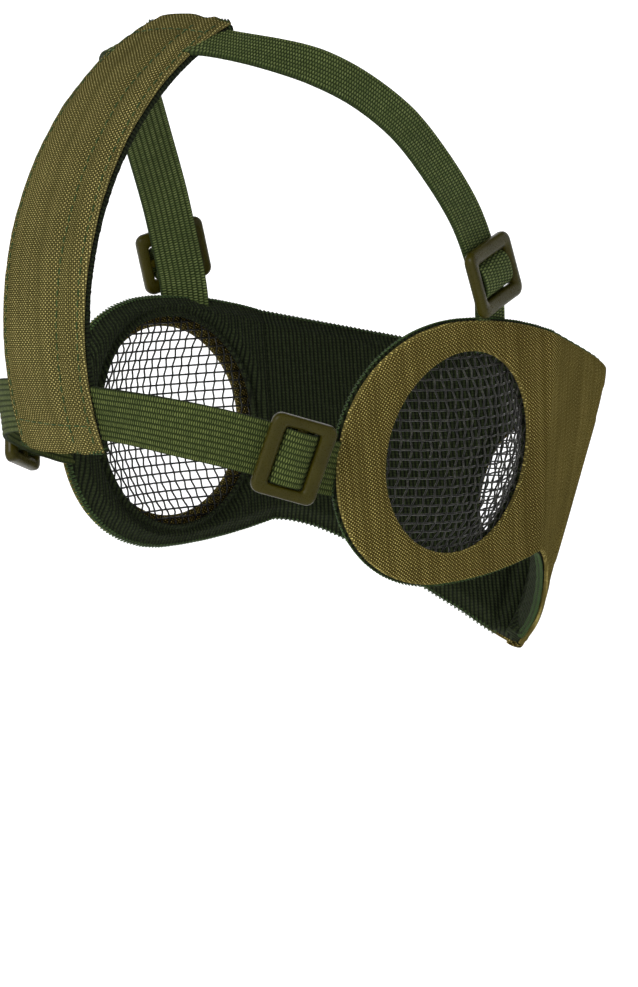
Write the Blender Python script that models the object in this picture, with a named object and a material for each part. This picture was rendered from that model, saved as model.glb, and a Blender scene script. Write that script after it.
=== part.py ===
"""Olive fabric face mask with woven wire ear windows, strapped to a padded band behind the head.

Metres, +Z up. The origin is midway between the two ear windows, the face looks along -Y and the
wearer's right is -X. Each side is one curved sheet, laid out on the ear and the cheek by two
coordinates: `along`, the distance forward from the bend in front of the ear, and the height.
"""
import math

import bmesh
import bpy
import numpy as np
from mathutils import Matrix, Vector

# Layers of the ear and cheek panels, as depths below the outer surface
COVER_DEPTH = (0.0, 0.0014)
MESH_DEPTH = (0.0020, 0.0027)
LINING_DEPTH = (0.0036, 0.0076)

# Ear panel
EAR_HALF_SPACING = 0.075
EAR_BOW_RADIUS = 0.325
EAR_TILT = 0.105
EAR_HALF_HEIGHT = 0.0445
EAR_ROUND_Y = 0.004
EAR_REAR_LENGTH = 0.0500
EAR_UPPER_POWER = 2.15
EAR_LOWER_POWER = 2.15
WINDOW_RADIUS = 0.0342
LINING_WINDOW_RADIUS = 0.0375
MESH_FLANGE_RADIUS = 0.0395
DOME_RADIUS = 0.0312
DOME_RISE = 0.0095

# Bend between the ear and the cheek, leaning the same way as the keel so that both can fold
BEND_Y = -0.046
KEEL_LEAN = 0.350
TOP_AT_BEND = 0.0375
BOTTOM_AT_BEND = -0.0387
COVER_BEND_GAP = 0.0006
MESH_BEND_GAP = 0.0020
LINING_BEND_GAP = 0.0036

# Cheek panel and keel
KEEL_Y = -0.1471
NOSE_ROUND = 12.8
CHIN_TUCK = 20.0
CHIN_TUCK_Z = -0.068
CHEEK_TOP_SLOPE = 0.200
CHIN_Z = -0.087
CHIN_ALONG = 0.104
CORNER_X = 0.027
CORNER_BULGE = 0.0183
CORNER_BULGE_SLOPE = 0.22
CORNER_WEIGHT = 2.0
COVER_KEEL_GAP = 0.0064
MESH_KEEL_GAP = 0.0082
LINING_KEEL_GAP = 0.0132
VENT_Z = -0.028
VENT_FROM_KEEL = 0.0240
VENT_HALF_WIDTH = 0.0085
VENT_HALF_HEIGHT = 0.0190
SEAM_RADIUS = 0.0017
CHEEK_RINGS = 6

# Rear pad, a band bent round the back of the head
PAD_CENTRE = (0.013, 0.045)
PAD_RADIUS = 0.1093
PAD_START = math.radians(-22.6)
PAD_END = math.radians(67.0)
PAD_HALF_WIDTH = 0.0205
PAD_CROWN = 0.0020
PAD_COVER = 0.0014
PAD_THICKNESS = 0.0060
PAD_LINING = 0.0012
PAD_GAP = 0.0004

# Webbing and tri-glide buckles
WEB_WIDTH = 0.0185
WEB_THICKNESS = 0.0018
WEB_END_SHEAR = 0.036
LOWER_WRAPS_ROUND = Vector((0.0, 0.010, 0.010))
UPPER_WRAPS_ROUND = Vector((0.0, 0.010, 0.055))
LOWER_ROUTE = (
    (0.0676, 0.0572, -0.0007),
    (0.0666, 0.0690, 0.0030),
    (0.0550, 0.0895, 0.0098),
    (0.0390, 0.1052, 0.0147),
    (0.0212, 0.1134, 0.0172),
)
UPPER_ROUTE = (
    (0.0766, -0.0116, 0.0470),
    (0.0768, -0.0092, 0.0580),
    (0.0742, 0.0005, 0.0828),
    (0.0640, 0.0200, 0.1115),
    (0.0480, 0.0420, 0.1285),
    (0.0212, 0.0640, 0.1368),
)
GLIDE_LENGTH = 0.0230
GLIDE_WIDTH = 0.0275
GLIDE_END_BAR = 0.0052
GLIDE_RAIL = 0.0040
GLIDE_HEIGHT = 0.0040
GLIDE_CENTRE_BAR = 0.0030
GLIDE_CENTRE_BAR_HEIGHT = 0.0020
GLIDE_CORNER = 0.0030
WRAP_THICKNESS = 0.0013
GLIDE_LOWER_AT = 0.0147
GLIDE_UPPER_AT = 0.0124
GLIDE_TRAVEL = 0.0150
GAP = 0.0003

OLIVE_FABRIC = ("olive_fabric", (0.118, 0.095, 0.030), 0.9, 0.0)
DARK_LINING = ("dark_lining", (0.016, 0.030, 0.010), 0.95, 0.0)
STEEL_WIRE = ("steel_wire", (0.045, 0.047, 0.045), 0.4, 0.9)
GREEN_WEBBING = ("green_webbing", (0.075, 0.115, 0.028), 0.85, 0.0)
OLIVE_PLASTIC = ("olive_plastic", (0.075, 0.066, 0.014), 0.35, 0.0)
PAD_FOAM = ("pad_foam", (0.060, 0.060, 0.050), 0.95, 0.0)


# ---------------------------------------------------------------- surface of one side

def ear_half_width(y, z):
    """Distance of the ear panel's outer surface from the middle plane."""
    return EAR_HALF_SPACING - y * y / (2 * EAR_BOW_RADIUS) + EAR_TILT * z


def keel_y(z):
    """Y of the keel, the edge where the two cheeks meet, at a height."""
    nose = NOSE_ROUND * max(0.0, z) ** 2
    chin = CHIN_TUCK * min(0.0, z - CHIN_TUCK_Z) ** 2
    return KEEL_Y - KEEL_LEAN * z + nose + chin


def cheek_plan(z, steps=48):
    """Plan curve of the cheek at a height, from the bend to the keel, with its lengths."""
    bend = np.array((ear_half_width(BEND_Y, z), BEND_Y))
    keel = np.array((0.0, keel_y(z)))
    share = 1.0 - CORNER_X / bend[0]
    bulge = CORNER_BULGE + CORNER_BULGE_SLOPE * z
    corner = bend + (keel - bend) * share - np.array((0.0, bulge))
    u = np.linspace(0.0, 1.0, steps)[:, None]
    middle = 2 * CORNER_WEIGHT * u * (1 - u)
    total = (1 - u) ** 2 + middle + u ** 2
    points = ((1 - u) ** 2 * bend + middle * corner + u ** 2 * keel) / total
    steps_along = np.linalg.norm(np.diff(points, axis=0), axis=1)
    return points, np.concatenate(((0.0,), np.cumsum(steps_along)))


def keel_along(z):
    """Distance from the bend to the keel, along the cheek at a height."""
    return cheek_plan(z)[1][-1]


def surface_point(along, z):
    """Outer surface of the half at +X."""
    if along <= 0:
        y = BEND_Y - along
        return np.array((ear_half_width(y, z), y, z))
    points, lengths = cheek_plan(z)
    x = np.interp(along, lengths, points[:, 0])
    y = np.interp(along, lengths, points[:, 1])
    return np.array((x, y, z))


def place(along, z, depth, side):
    """World point at a depth below the outer surface; side is -1 on the wearer's right."""
    step = 0.0015
    forward = surface_point(along + step, z) - surface_point(along - step, z)
    upward = surface_point(along, z + step) - surface_point(along, z - step)
    normal = np.cross(upward, forward)
    normal /= np.linalg.norm(normal)
    point = surface_point(along, z) - normal * depth
    return Vector((side * point[0], point[1], point[2]))


# ---------------------------------------------------------------- outlines, as (along, z)

def top_edge(along):
    """Height of the top edge of the ear and cheek panels."""
    if along > 0:
        return TOP_AT_BEND - CHEEK_TOP_SLOPE * along
    span = EAR_ROUND_Y - BEND_Y
    forward = min(1.0, (EAR_ROUND_Y - BEND_Y + along) / span)
    return EAR_HALF_HEIGHT + (TOP_AT_BEND - EAR_HALF_HEIGHT) * forward * forward


def bottom_edge(along):
    """Height of the bottom edge of the ear and cheek panels."""
    if along > 0:
        share = min(1.0, along / CHIN_ALONG)
        return BOTTOM_AT_BEND + (CHIN_Z - BOTTOM_AT_BEND) * share * share * (3 - 2 * share)
    span = EAR_ROUND_Y - BEND_Y
    forward = min(1.0, (EAR_ROUND_Y - BEND_Y + along) / span)
    return -EAR_HALF_HEIGHT + (BOTTOM_AT_BEND + EAR_HALF_HEIGHT) * forward * forward


def bend_corner(edge, gap):
    """Where the leaning split between ear and cheek meets an edge."""
    along = 0.0
    for _ in range(8):
        along = KEEL_LEAN * edge(along) + gap
    return along


def spread(start, end, count):
    """Evenly spread values from start, without the end."""
    return [start + (end - start) * i / count for i in range(count)]


def ear_outline(grow, gap):
    """Ear panel outline from its top front corner round the rear to the bottom front corner."""
    top = bend_corner(top_edge, -gap)
    bottom = bend_corner(bottom_edge, -gap)
    start = BEND_Y - EAR_ROUND_Y
    outline = [(along, top_edge(along) + grow) for along in spread(top, start, 8)]
    for angle in spread(math.pi / 2, -math.pi / 2, 24):
        power = 2.0 / (EAR_UPPER_POWER if angle > 0 else EAR_LOWER_POWER)
        rear = (EAR_REAR_LENGTH + grow) * max(0.0, math.cos(angle)) ** power
        lift = abs(math.sin(angle)) ** power
        z = math.copysign((EAR_HALF_HEIGHT + grow) * lift, angle)
        outline.append((start - rear, z))
    outline += [(along, bottom_edge(along) - grow) for along in spread(start, bottom, 6)]
    first = (top, top_edge(top) + grow)
    last = (bottom, bottom_edge(bottom) - grow)
    for share in spread(0.0, 1.0, 8):
        outline.append((last[0] + (first[0] - last[0]) * share, last[1] + (first[1] - last[1]) * share))
    return outline


def cheek_outline(bend_gap, keel_gap, edge_inset):
    """Cheek panel outline: bottom edge, keel, top edge and back down the split."""
    foot = CHIN_Z + edge_inset
    nose = top_edge(keel_along(0.012)) - edge_inset
    low = bend_corner(bottom_edge, bend_gap)
    high = bend_corner(top_edge, bend_gap)
    chin = keel_along(foot) - keel_gap
    outline = [(along, bottom_edge(along) + edge_inset) for along in spread(low, chin, 13)]
    outline += [(keel_along(z) - keel_gap, z) for z in spread(foot, nose, 8)]
    front = keel_along(nose) - keel_gap
    outline += [(along, top_edge(along) - edge_inset) for along in spread(front, high, 11)]
    first = (high, top_edge(high) - edge_inset)
    last = (low, bottom_edge(low) + edge_inset)
    for share in spread(0.0, 1.0, 6):
        along = first[0] + (last[0] - first[0]) * share
        outline.append((along, first[1] + (last[1] - first[1]) * share))
    return outline


def window_edge(radius):
    """Function from an outline point to the round ear window's edge in the same direction."""
    def edge(point):
        angle = math.atan2(point[1], point[0] - BEND_Y)
        return BEND_Y + radius * math.cos(angle), radius * math.sin(angle)
    return edge


def vent_edge(grow):
    """Function from an outline point to the mouth vent's edge in the same direction."""
    centre = keel_along(VENT_Z) - VENT_FROM_KEEL
    half_width = VENT_HALF_WIDTH + grow
    half_height = VENT_HALF_HEIGHT + grow

    def edge(point):
        angle = math.atan2((point[1] - VENT_Z) / half_height, (point[0] - centre) / half_width)
        z = VENT_Z + half_height * math.sin(angle)
        return keel_along(z) - VENT_FROM_KEEL + half_width * math.cos(angle), z
    return edge


# ---------------------------------------------------------------- mesh builders

def finish_body(bm):
    """Weld, and turn every face outward."""
    bmesh.ops.remove_doubles(bm, verts=bm.verts, dist=1e-7)
    bmesh.ops.recalc_face_normals(bm, faces=bm.faces)
    return bm


def ring_panel(outline, inner_edge, rings, depths, side, rise=None, centre=None):
    """Shell between two depths, from an outline in to an inner edge, or filled to a centre."""
    bm = bmesh.new()
    count = len(outline)
    layers = []
    for depth in depths:
        rows = []
        for ring in range(rings + 1):
            share = 1 - (1 - ring / rings) ** 1.5
            row = []
            for point in outline:
                inner = inner_edge(point)
                along = point[0] + (inner[0] - point[0]) * share
                z = point[1] + (inner[1] - point[1]) * share
                lift = rise(along, z) if rise else 0.0
                row.append(bm.verts.new(place(along, z, depth - lift, side)))
            rows.append(row)
        if centre:
            lift = rise(*centre) if rise else 0.0
            rows.append([bm.verts.new(place(centre[0], centre[1], depth - lift, side))])
        layers.append(rows)
    for rows in layers:
        for row, following in zip(rows, rows[1:]):
            for i in range(count):
                j = (i + 1) % count
                if len(following) == 1:
                    bm.faces.new((row[i], row[j], following[0]))
                else:
                    bm.faces.new((row[i], row[j], following[j], following[i]))
    walls = [0] if centre else [0, rings]
    for ring in walls:
        for i in range(count):
            j = (i + 1) % count
            outer, inner = layers[0][ring], layers[1][ring]
            bm.faces.new((outer[i], outer[j], inner[j], inner[i]))
    return finish_body(bm)


def sweep(stations, section):
    """Sweep a closed section, as (across, up) points, along stations of (point, across, up)."""
    bm = bmesh.new()
    rows = []
    for point, across, up in stations:
        rows.append([bm.verts.new(point + across * a + up * b) for a, b in section])
    count = len(section)
    for row, following in zip(rows, rows[1:]):
        for i in range(count):
            j = (i + 1) % count
            bm.faces.new((row[i], row[j], following[j], following[i]))
    bm.faces.new(rows[0])
    bm.faces.new(rows[-1])
    return finish_body(bm)


def box(centre, size):
    """Box by its centre and full size."""
    bm = bmesh.new()
    matrix = Matrix.Translation(centre) @ Matrix.Diagonal((*size, 1.0))
    bmesh.ops.create_cube(bm, size=1.0, matrix=matrix)
    return bm


# ---------------------------------------------------------------- objects

def material(spec):
    """Principled material from a name, a colour, a roughness and a metallic value."""
    name, colour, roughness, metallic = spec
    found = bpy.data.materials.get(name)
    if found:
        return found
    made = bpy.data.materials.new(name)
    made.use_nodes = True
    shader = made.node_tree.nodes["Principled BSDF"]
    shader.inputs["Base Color"].default_value = (*colour, 1.0)
    shader.inputs["Roughness"].default_value = roughness
    shader.inputs["Metallic"].default_value = metallic
    made.diffuse_color = (*colour, 1.0)
    return made


def add_axis(name, pivot, parent=None):
    """Empty on a joint's axis, which carries the pieces of one moving body."""
    empty = bpy.data.objects.new(name, None)
    empty.empty_display_size = 0.02
    bpy.context.scene.collection.objects.link(empty)
    empty["pivot"] = tuple(pivot)
    empty.parent = parent
    start = Vector(parent["pivot"]) if parent else Vector()
    empty.location = Vector(pivot) - start
    return empty


def add_part(name, bm, spec, body, smooth=True):
    """Object from a mesh in world coordinates, parented to its body's axis."""
    bmesh.ops.translate(bm, verts=bm.verts, vec=-Vector(body["pivot"]))
    mesh = bpy.data.meshes.new(name)
    bm.to_mesh(mesh)
    bm.free()
    if smooth:
        mesh.shade_smooth()
        mesh.set_sharp_from_angle(angle=math.radians(40))
    mesh.materials.append(material(spec))
    made = bpy.data.objects.new(name, mesh)
    made.parent = body
    bpy.context.scene.collection.objects.link(made)
    return made


# ---------------------------------------------------------------- ear and cheek panels

def dome_rise(along, z):
    """Outward swell of the wire dome over the ear window."""
    radius = math.hypot(along - BEND_Y, z)
    return DOME_RISE * max(0.0, 1 - (radius / DOME_RADIUS) ** 2)


def add_ear(label, side, body):
    """Cover, wire dome and lining of one ear panel."""
    cover = ring_panel(ear_outline(0.0, COVER_BEND_GAP), window_edge(WINDOW_RADIUS), 3,
                       COVER_DEPTH, side)
    add_part(label + "_ear_cover", cover, OLIVE_FABRIC, body)
    lining = ring_panel(ear_outline(0.0004, LINING_BEND_GAP), window_edge(LINING_WINDOW_RADIUS), 3,
                        LINING_DEPTH, side)
    add_part(label + "_ear_lining", lining, DARK_LINING, body)
    flange = []
    for turn in spread(0.0, 2 * math.pi, 30):
        flange.append((BEND_Y + MESH_FLANGE_RADIUS * math.cos(turn),
                       MESH_FLANGE_RADIUS * math.sin(turn)))
    dome = ring_panel(flange, window_edge(MESH_FLANGE_RADIUS * 0.12), 6, MESH_DEPTH, side,
                      rise=dome_rise, centre=(BEND_Y, 0.0))
    add_part(label + "_ear_mesh", dome, STEEL_WIRE, body)


def add_cheek(label, side, body):
    """Cover, wire core and lining of one cheek panel, open at the mouth vent."""
    cover = ring_panel(cheek_outline(COVER_BEND_GAP, COVER_KEEL_GAP, 0.0), vent_edge(0.0), CHEEK_RINGS,
                       COVER_DEPTH, side)
    add_part(label + "_cheek_cover", cover, OLIVE_FABRIC, body)
    centre = (keel_along(VENT_Z) - VENT_FROM_KEEL, VENT_Z)
    core = ring_panel(cheek_outline(MESH_BEND_GAP, MESH_KEEL_GAP, 0.002), vent_edge(0.0), CHEEK_RINGS,
                      MESH_DEPTH, side, centre=centre)
    add_part(label + "_cheek_mesh", core, STEEL_WIRE, body)
    lining_outline = cheek_outline(LINING_BEND_GAP, LINING_KEEL_GAP, 0.0006)
    lining = ring_panel(lining_outline, vent_edge(0.0008), CHEEK_RINGS, LINING_DEPTH, side)
    add_part(label + "_cheek_lining", lining, DARK_LINING, body)


def add_centre_seam(body):
    """Bead down the keel that joins the two cheek covers."""
    stations = []
    nose = top_edge(keel_along(0.012))
    heights = spread(nose, CHIN_Z, 18) + [CHIN_Z]
    for z in heights:
        tangent = Vector((0.0, keel_y(z + 0.001) - keel_y(z - 0.001), 0.002)).normalized()
        across = Vector((1.0, 0.0, 0.0))
        stations.append((Vector((0.0, keel_y(z) + SEAM_RADIUS, z)), across, across.cross(tangent)))
    section = []
    for turn in spread(0.0, 2 * math.pi, 10):
        section.append((SEAM_RADIUS * math.cos(turn), SEAM_RADIUS * math.sin(turn)))
    add_part("centre_seam", sweep(stations, section), OLIVE_FABRIC, body)


# ---------------------------------------------------------------- straps and tri-glides

def strap_curve(route, wraps_round, side, steps=24):
    """Smooth curve through a strap's route: even points, its length, what it wraps round."""
    knots = [Vector((side * x, y, z)) for x, y, z in route]
    knots = [2 * knots[0] - knots[1]] + knots + [2 * knots[-1] - knots[-2]]
    dense = []
    for a, b, c, d in zip(knots, knots[1:], knots[2:], knots[3:]):
        for t in spread(0.0, 1.0, 24):
            dense.append(0.5 * (2 * b + (c - a) * t + (2 * a - 5 * b + 4 * c - d) * t * t
                                + (3 * b - a - 3 * c + d) * t ** 3))
    dense.append(knots[-2])
    lengths = [0.0]
    for before, after in zip(dense, dense[1:]):
        lengths.append(lengths[-1] + (after - before).length)
    grid = np.linspace(0.0, lengths[-1], steps + 1)
    table = np.array([tuple(point) for point in dense])
    columns = [np.interp(grid, lengths, table[:, axis]) for axis in range(3)]
    return [Vector(point) for point in zip(*columns)], lengths[-1], wraps_round


def strap_frame(strap, distance):
    """Point, tangent, across and outward directions at a distance along a strap."""
    points, length, wraps_round = strap
    position = distance / length * (len(points) - 1)
    index = min(len(points) - 2, int(position))
    point = points[index].lerp(points[index + 1], position - index)
    before = points[max(0, index - 1)]
    after = points[min(len(points) - 1, index + 2)]
    tangent = (after - before).normalized()
    outward = point - wraps_round
    outward = (outward - tangent * outward.dot(tangent)).normalized()
    return point, tangent, outward.cross(tangent), outward


def add_strap(name, strap, body):
    """Flat webbing along its route, cut along the pad's side where it meets it."""
    points, length, _ = strap
    half = WEB_WIDTH / 2
    thick = WEB_THICKNESS / 2
    section = ((-half, -thick), (half, -thick), (half, thick), (-half, thick))
    stations = []
    for i in range(len(points)):
        distance = length * i / (len(points) - 1)
        point, tangent, across, outward = strap_frame(strap, distance)
        share = max(0.0, 1 - (length - distance) / WEB_END_SHEAR)
        share *= share
        across = across - tangent * (share * across.x / tangent.x)
        outward = outward - tangent * (share * outward.x / tangent.x)
        stations.append((point, across, outward))
    add_part(name, sweep(stations, section), GREEN_WEBBING, body)


def slide_axis(strap, start):
    """Centre and axis of the arc that a tri-glide follows along its strap."""
    a = strap_frame(strap, start)[0]
    b = strap_frame(strap, start + GLIDE_TRAVEL / 2)[0]
    c = strap_frame(strap, start + GLIDE_TRAVEL)[0]
    normal = (b - a).cross(c - a)
    centre = (normal.cross(b - a) * (c - a).length_squared
              + (c - a).cross(normal) * (b - a).length_squared) / (2 * normal.length_squared)
    return a + centre, normal.normalized()


def glide_frame_mesh():
    """Tri-glide frame with one wide window, lying in its own plane, round corners."""
    half_length = GLIDE_LENGTH / 2
    half_width = GLIDE_WIDTH / 2
    xs = (-half_length, -half_length + GLIDE_END_BAR, half_length - GLIDE_END_BAR, half_length)
    ys = (-half_width, -half_width + GLIDE_RAIL, half_width - GLIDE_RAIL, half_width)
    bm = bmesh.new()
    grid = [[bm.verts.new((x, y, 0.0)) for y in ys] for x in xs]
    for i in range(3):
        for j in range(3):
            if (i, j) != (1, 1):
                bm.faces.new((grid[i][j], grid[i + 1][j], grid[i + 1][j + 1], grid[i][j + 1]))
    raised = bmesh.ops.extrude_face_region(bm, geom=list(bm.faces))["geom"]
    top = [item for item in raised if isinstance(item, bmesh.types.BMVert)]
    bmesh.ops.translate(bm, verts=top, vec=(0.0, 0.0, GLIDE_HEIGHT))
    corners = [edge for edge in bm.edges if is_outer_corner(edge, half_length, half_width)]
    bmesh.ops.bevel(bm, geom=corners, offset=GLIDE_CORNER, segments=4, affect="EDGES", profile=0.5)
    return finish_body(bm)


def is_outer_corner(edge, half_length, half_width):
    """True for the four upright edges at the frame's outer corners."""
    near = 1e-6
    return all(abs(abs(v.co.x) - half_length) < near and abs(abs(v.co.y) - half_width) < near
               for v in edge.verts)


def wrap_mesh():
    """Webbing that rises through one slot, crosses the centre bar and goes down the other."""
    reach = GLIDE_LENGTH / 2 - GLIDE_END_BAR - 2 * GAP
    height = GLIDE_CENTRE_BAR_HEIGHT + 2 * GAP + WRAP_THICKNESS
    outer, inner = [], []
    for turn in spread(0.0, math.pi, 8) + [math.pi]:
        lift = 0.12 + 0.94 * math.sin(turn)
        outer.append((reach * math.cos(turn), height * lift))
        inner.append(((reach - WRAP_THICKNESS) * math.cos(turn), (height - WRAP_THICKNESS) * lift))
    section = outer + inner[::-1]
    half = WEB_WIDTH / 2
    along, up = Vector((1.0, 0.0, 0.0)), Vector((0.0, 0.0, 1.0))
    stations = [(Vector((0.0, y, 0.0)), along, up) for y in (-half, half)]
    return sweep(stations, section)


def add_glide(name, wrap_name, strap, start, body):
    """Tri-glide buckle and the webbing over its centre bar, on an axis of their own."""
    point, tangent, across, outward = strap_frame(strap, start)
    pivot, _ = slide_axis(strap, start)
    slider = add_axis(name + "_axis", pivot, body)
    lift = WEB_THICKNESS / 2 + GAP
    frame = Matrix((tangent, across, outward)).transposed().to_4x4()
    frame.translation = point + outward * lift
    mesh = glide_frame_mesh()
    bmesh.ops.transform(mesh, matrix=frame, verts=mesh.verts)
    glide = add_part(name, mesh, OLIVE_PLASTIC, slider, smooth=False)
    bar_centre = Vector((0.0, 0.0, GLIDE_CENTRE_BAR_HEIGHT / 2 + GAP))
    bar_length = GLIDE_WIDTH - GLIDE_RAIL
    bar = box(bar_centre, (GLIDE_CENTRE_BAR, bar_length, GLIDE_CENTRE_BAR_HEIGHT))
    bmesh.ops.transform(bar, matrix=frame, verts=bar.verts)
    guide = add_part(name + "_bar", bar, OLIVE_PLASTIC, slider, smooth=False)
    guide.hide_render = True
    guide.display_type = "WIRE"
    union = glide.modifiers.new("centre bar", "BOOLEAN")
    union.operation = "UNION"
    union.object = guide
    wrap = wrap_mesh()
    wrap_frame = frame.copy()
    wrap_frame.translation = point + outward * (lift + GAP)
    bmesh.ops.transform(wrap, matrix=wrap_frame, verts=wrap.verts)
    add_part(wrap_name, wrap, GREEN_WEBBING, slider)


def add_straps(label, side, body):
    """Upper and lower strap of one side, with their tri-glides."""
    for level, route, wraps_round, start in (
            ("upper", UPPER_ROUTE, UPPER_WRAPS_ROUND, GLIDE_UPPER_AT),
            ("lower", LOWER_ROUTE, LOWER_WRAPS_ROUND, GLIDE_LOWER_AT)):
        strap = strap_curve(route, wraps_round, side)
        add_strap(f"{label}_{level}_strap", strap, body)
        add_glide(f"{label}_{level}_triglide", f"{label}_{level}_wrap", strap, start, body)


# ---------------------------------------------------------------- rear pad

def pad_stations():
    """Stations along the pad's outer arc, from the nape to the crown."""
    stations = []
    for i in range(17):
        angle = PAD_START + (PAD_END - PAD_START) * i / 16
        up = Vector((0.0, math.cos(angle), math.sin(angle)))
        arc_centre = Vector((0.0, *PAD_CENTRE))
        stations.append((arc_centre + up * PAD_RADIUS, Vector((1.0, 0.0, 0.0)), up))
    return stations


def crowned(x, depth):
    """Section point at a depth below the outer face, which is crowned over a flat lining."""
    crown = PAD_CROWN * (1 - depth / PAD_THICKNESS)
    return x, -depth - crown * (x / PAD_HALF_WIDTH) ** 2


def pad_section(half_width, top, bottom, steps=4):
    """Slab section between two depths."""
    upper = [crowned(-half_width + 2 * half_width * i / steps, top) for i in range(steps + 1)]
    lower = [crowned(half_width - 2 * half_width * i / steps, bottom) for i in range(steps + 1)]
    return upper + lower


def add_pad(body):
    """Cover turned down round the foam, the foam, and the knitted lining that closes it."""
    stations = pad_stations()
    steps = 6
    half = PAD_HALF_WIDTH
    inside = half - PAD_COVER
    outer = [crowned(-half + 2 * half * i / steps, 0.0) for i in range(steps + 1)]
    inner = [crowned(inside - 2 * inside * i / steps, PAD_COVER) for i in range(steps + 1)]
    right_lip = [crowned(half, PAD_THICKNESS), crowned(inside, PAD_THICKNESS)]
    left_lip = [crowned(-inside, PAD_THICKNESS), crowned(-half, PAD_THICKNESS)]
    cover = outer + right_lip + inner + left_lip
    add_part("pad_cover", sweep(stations, cover), OLIVE_FABRIC, body)
    foam_half = inside - PAD_GAP
    lining_top = PAD_THICKNESS - PAD_LINING
    foam = pad_section(foam_half, PAD_COVER + PAD_GAP, lining_top - PAD_GAP)
    add_part("pad_foam", sweep(stations, foam), PAD_FOAM, body)
    lining = pad_section(foam_half, lining_top, PAD_THICKNESS)
    add_part("pad_lining", sweep(stations, lining), DARK_LINING, body)


# ---------------------------------------------------------------- assembly

def main():
    for old in list(bpy.data.objects):
        bpy.data.objects.remove(old, do_unlink=True)
    head = add_axis("head", (0.0, 0.0, 0.0))
    add_pad(head)
    for label, side in (("right", -1), ("left", 1)):
        centre = (side * EAR_HALF_SPACING, 0.0, 0.0)
        ear = add_axis(label + "_ear_axis", centre, head)
        add_ear(label, side, ear)
        add_straps(label, side, ear)
        bend = (side * ear_half_width(BEND_Y, 0.0), BEND_Y, 0.0)
        cheek = add_axis(label + "_cheek_axis", bend, ear)
        add_cheek(label, side, cheek)
        if side < 0:
            add_centre_seam(cheek)


main()
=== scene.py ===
"""Looks of a lower-half face mask with wire ear windows, elastic straps and a rear pad.

Metres, +Z up, the mask faces -Y, and the wearer's right is -X. A panel is drawn on its own
surface by two measures: along, which is 0 at the bend between ear and cheek and grows towards
the keel, and z, the height.
"""

import math

import bpy
import numpy as np
from mathutils import Matrix, Vector, geometry, kdtree, noise


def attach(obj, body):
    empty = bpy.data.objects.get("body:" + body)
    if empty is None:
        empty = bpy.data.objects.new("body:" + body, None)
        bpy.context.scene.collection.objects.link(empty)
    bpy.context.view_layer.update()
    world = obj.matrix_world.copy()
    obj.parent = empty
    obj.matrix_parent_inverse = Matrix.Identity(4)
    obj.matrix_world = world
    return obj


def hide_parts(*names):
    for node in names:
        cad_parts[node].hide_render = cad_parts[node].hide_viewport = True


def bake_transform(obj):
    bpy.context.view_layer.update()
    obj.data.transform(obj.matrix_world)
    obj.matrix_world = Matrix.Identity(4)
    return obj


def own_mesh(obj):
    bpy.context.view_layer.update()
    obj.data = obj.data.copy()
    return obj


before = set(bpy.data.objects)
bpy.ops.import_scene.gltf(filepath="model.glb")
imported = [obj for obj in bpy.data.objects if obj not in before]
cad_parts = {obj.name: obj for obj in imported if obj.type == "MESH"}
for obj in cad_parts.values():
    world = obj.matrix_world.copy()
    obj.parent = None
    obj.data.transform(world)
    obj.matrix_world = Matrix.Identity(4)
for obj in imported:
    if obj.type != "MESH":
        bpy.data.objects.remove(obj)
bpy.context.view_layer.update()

SIDES = (("right", -1), ("left", 1))
HEAD_CENTRE = Vector((0.0, 0.0, 0.055))

# Outer surface of a half
EAR_HALF_SPACING = 0.075
EAR_BOW_RADIUS = 0.325
EAR_TILT = 0.105
EAR_HALF_HEIGHT = 0.0445
EAR_ROUND_Y = 0.004
EAR_REAR_LENGTH = 0.0500
EAR_POWER = 2.15                # 2 is an ellipse, more is squarer
BEND_Y = -0.046
TOP_AT_BEND = 0.0375
BOTTOM_AT_BEND = -0.0387
KEEL_Y = -0.1471
KEEL_LEAN = 0.350
NOSE_ROUND = 12.8               # how sharply the keel turns back above and below
CHIN_TUCK = 20.0
CHIN_TUCK_Z = -0.068
CHEEK_TOP_SLOPE = 0.200
CHIN_Z = -0.087
CHIN_ALONG = 0.104              # where the bottom edge would level out
CHIN_CURVE = 0.024              # last stretch of it, which drops to the keel
CORNER_X = 0.027                # corner of the curve that rounds the cheek in plan
CORNER_BULGE = 0.0183
CORNER_BULGE_SLOPE = 0.22
CORNER_WEIGHT = 2.0

# Openings
WINDOW_RADIUS = 0.0342
LINING_WINDOW_RADIUS = 0.0375
FLANGE_RADIUS = 0.0388
DOME_RADIUS = 0.0332
DOME_RISE = 0.0095
DOME_POWER = 2.4
VENT_Z = -0.028
VENT_FROM_KEEL = 0.0240
VENT_HALF_WIDTH = 0.0085
VENT_HALF_HEIGHT = 0.0190
VENT_FLANGE = 0.0035

# Layers of a panel, as depths below its outer surface
COVER_THICKNESS = 0.0014
WIRE_DEPTH = 0.00235
LINING_TOP = 0.0036
LINING_BOTTOM = 0.0076
SEWN_DEPTH = 0.0028             # middle and half thickness of the lining's sewn edge
SEWN_HALF = 0.0012
HEM_THICKNESS = 0.00035
HEM_WIDTH = 0.0085
LINING_RIB = 0.00022
LINING_RIB_PITCH = 0.0030
COVER_KEEL_GAP = 0.0030
LINING_KEEL_GAP = 0.0110
TAPE_HALF = 0.0060
TAPE_BLUNT = 0.0020             # half width of the blunt fold on the keel
TAPE_THICKNESS = 0.0007
TAPE_SEAM = 0.0044

# Spacing of points
EDGE_STEP = 0.0012
VENT_STEP = 0.0011
COVER_STEP = 0.0019
LINING_STEP = 0.0012
RIM_OFFSETS = (0.00025, 0.0007)
THREAD_STEP = 0.00026
STRAP_STEP = 0.0010
POINTS_PER_RIB = 6
INNER_FACE = 0.01               # the cloth measures' distance to an edge on an inner face

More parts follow.
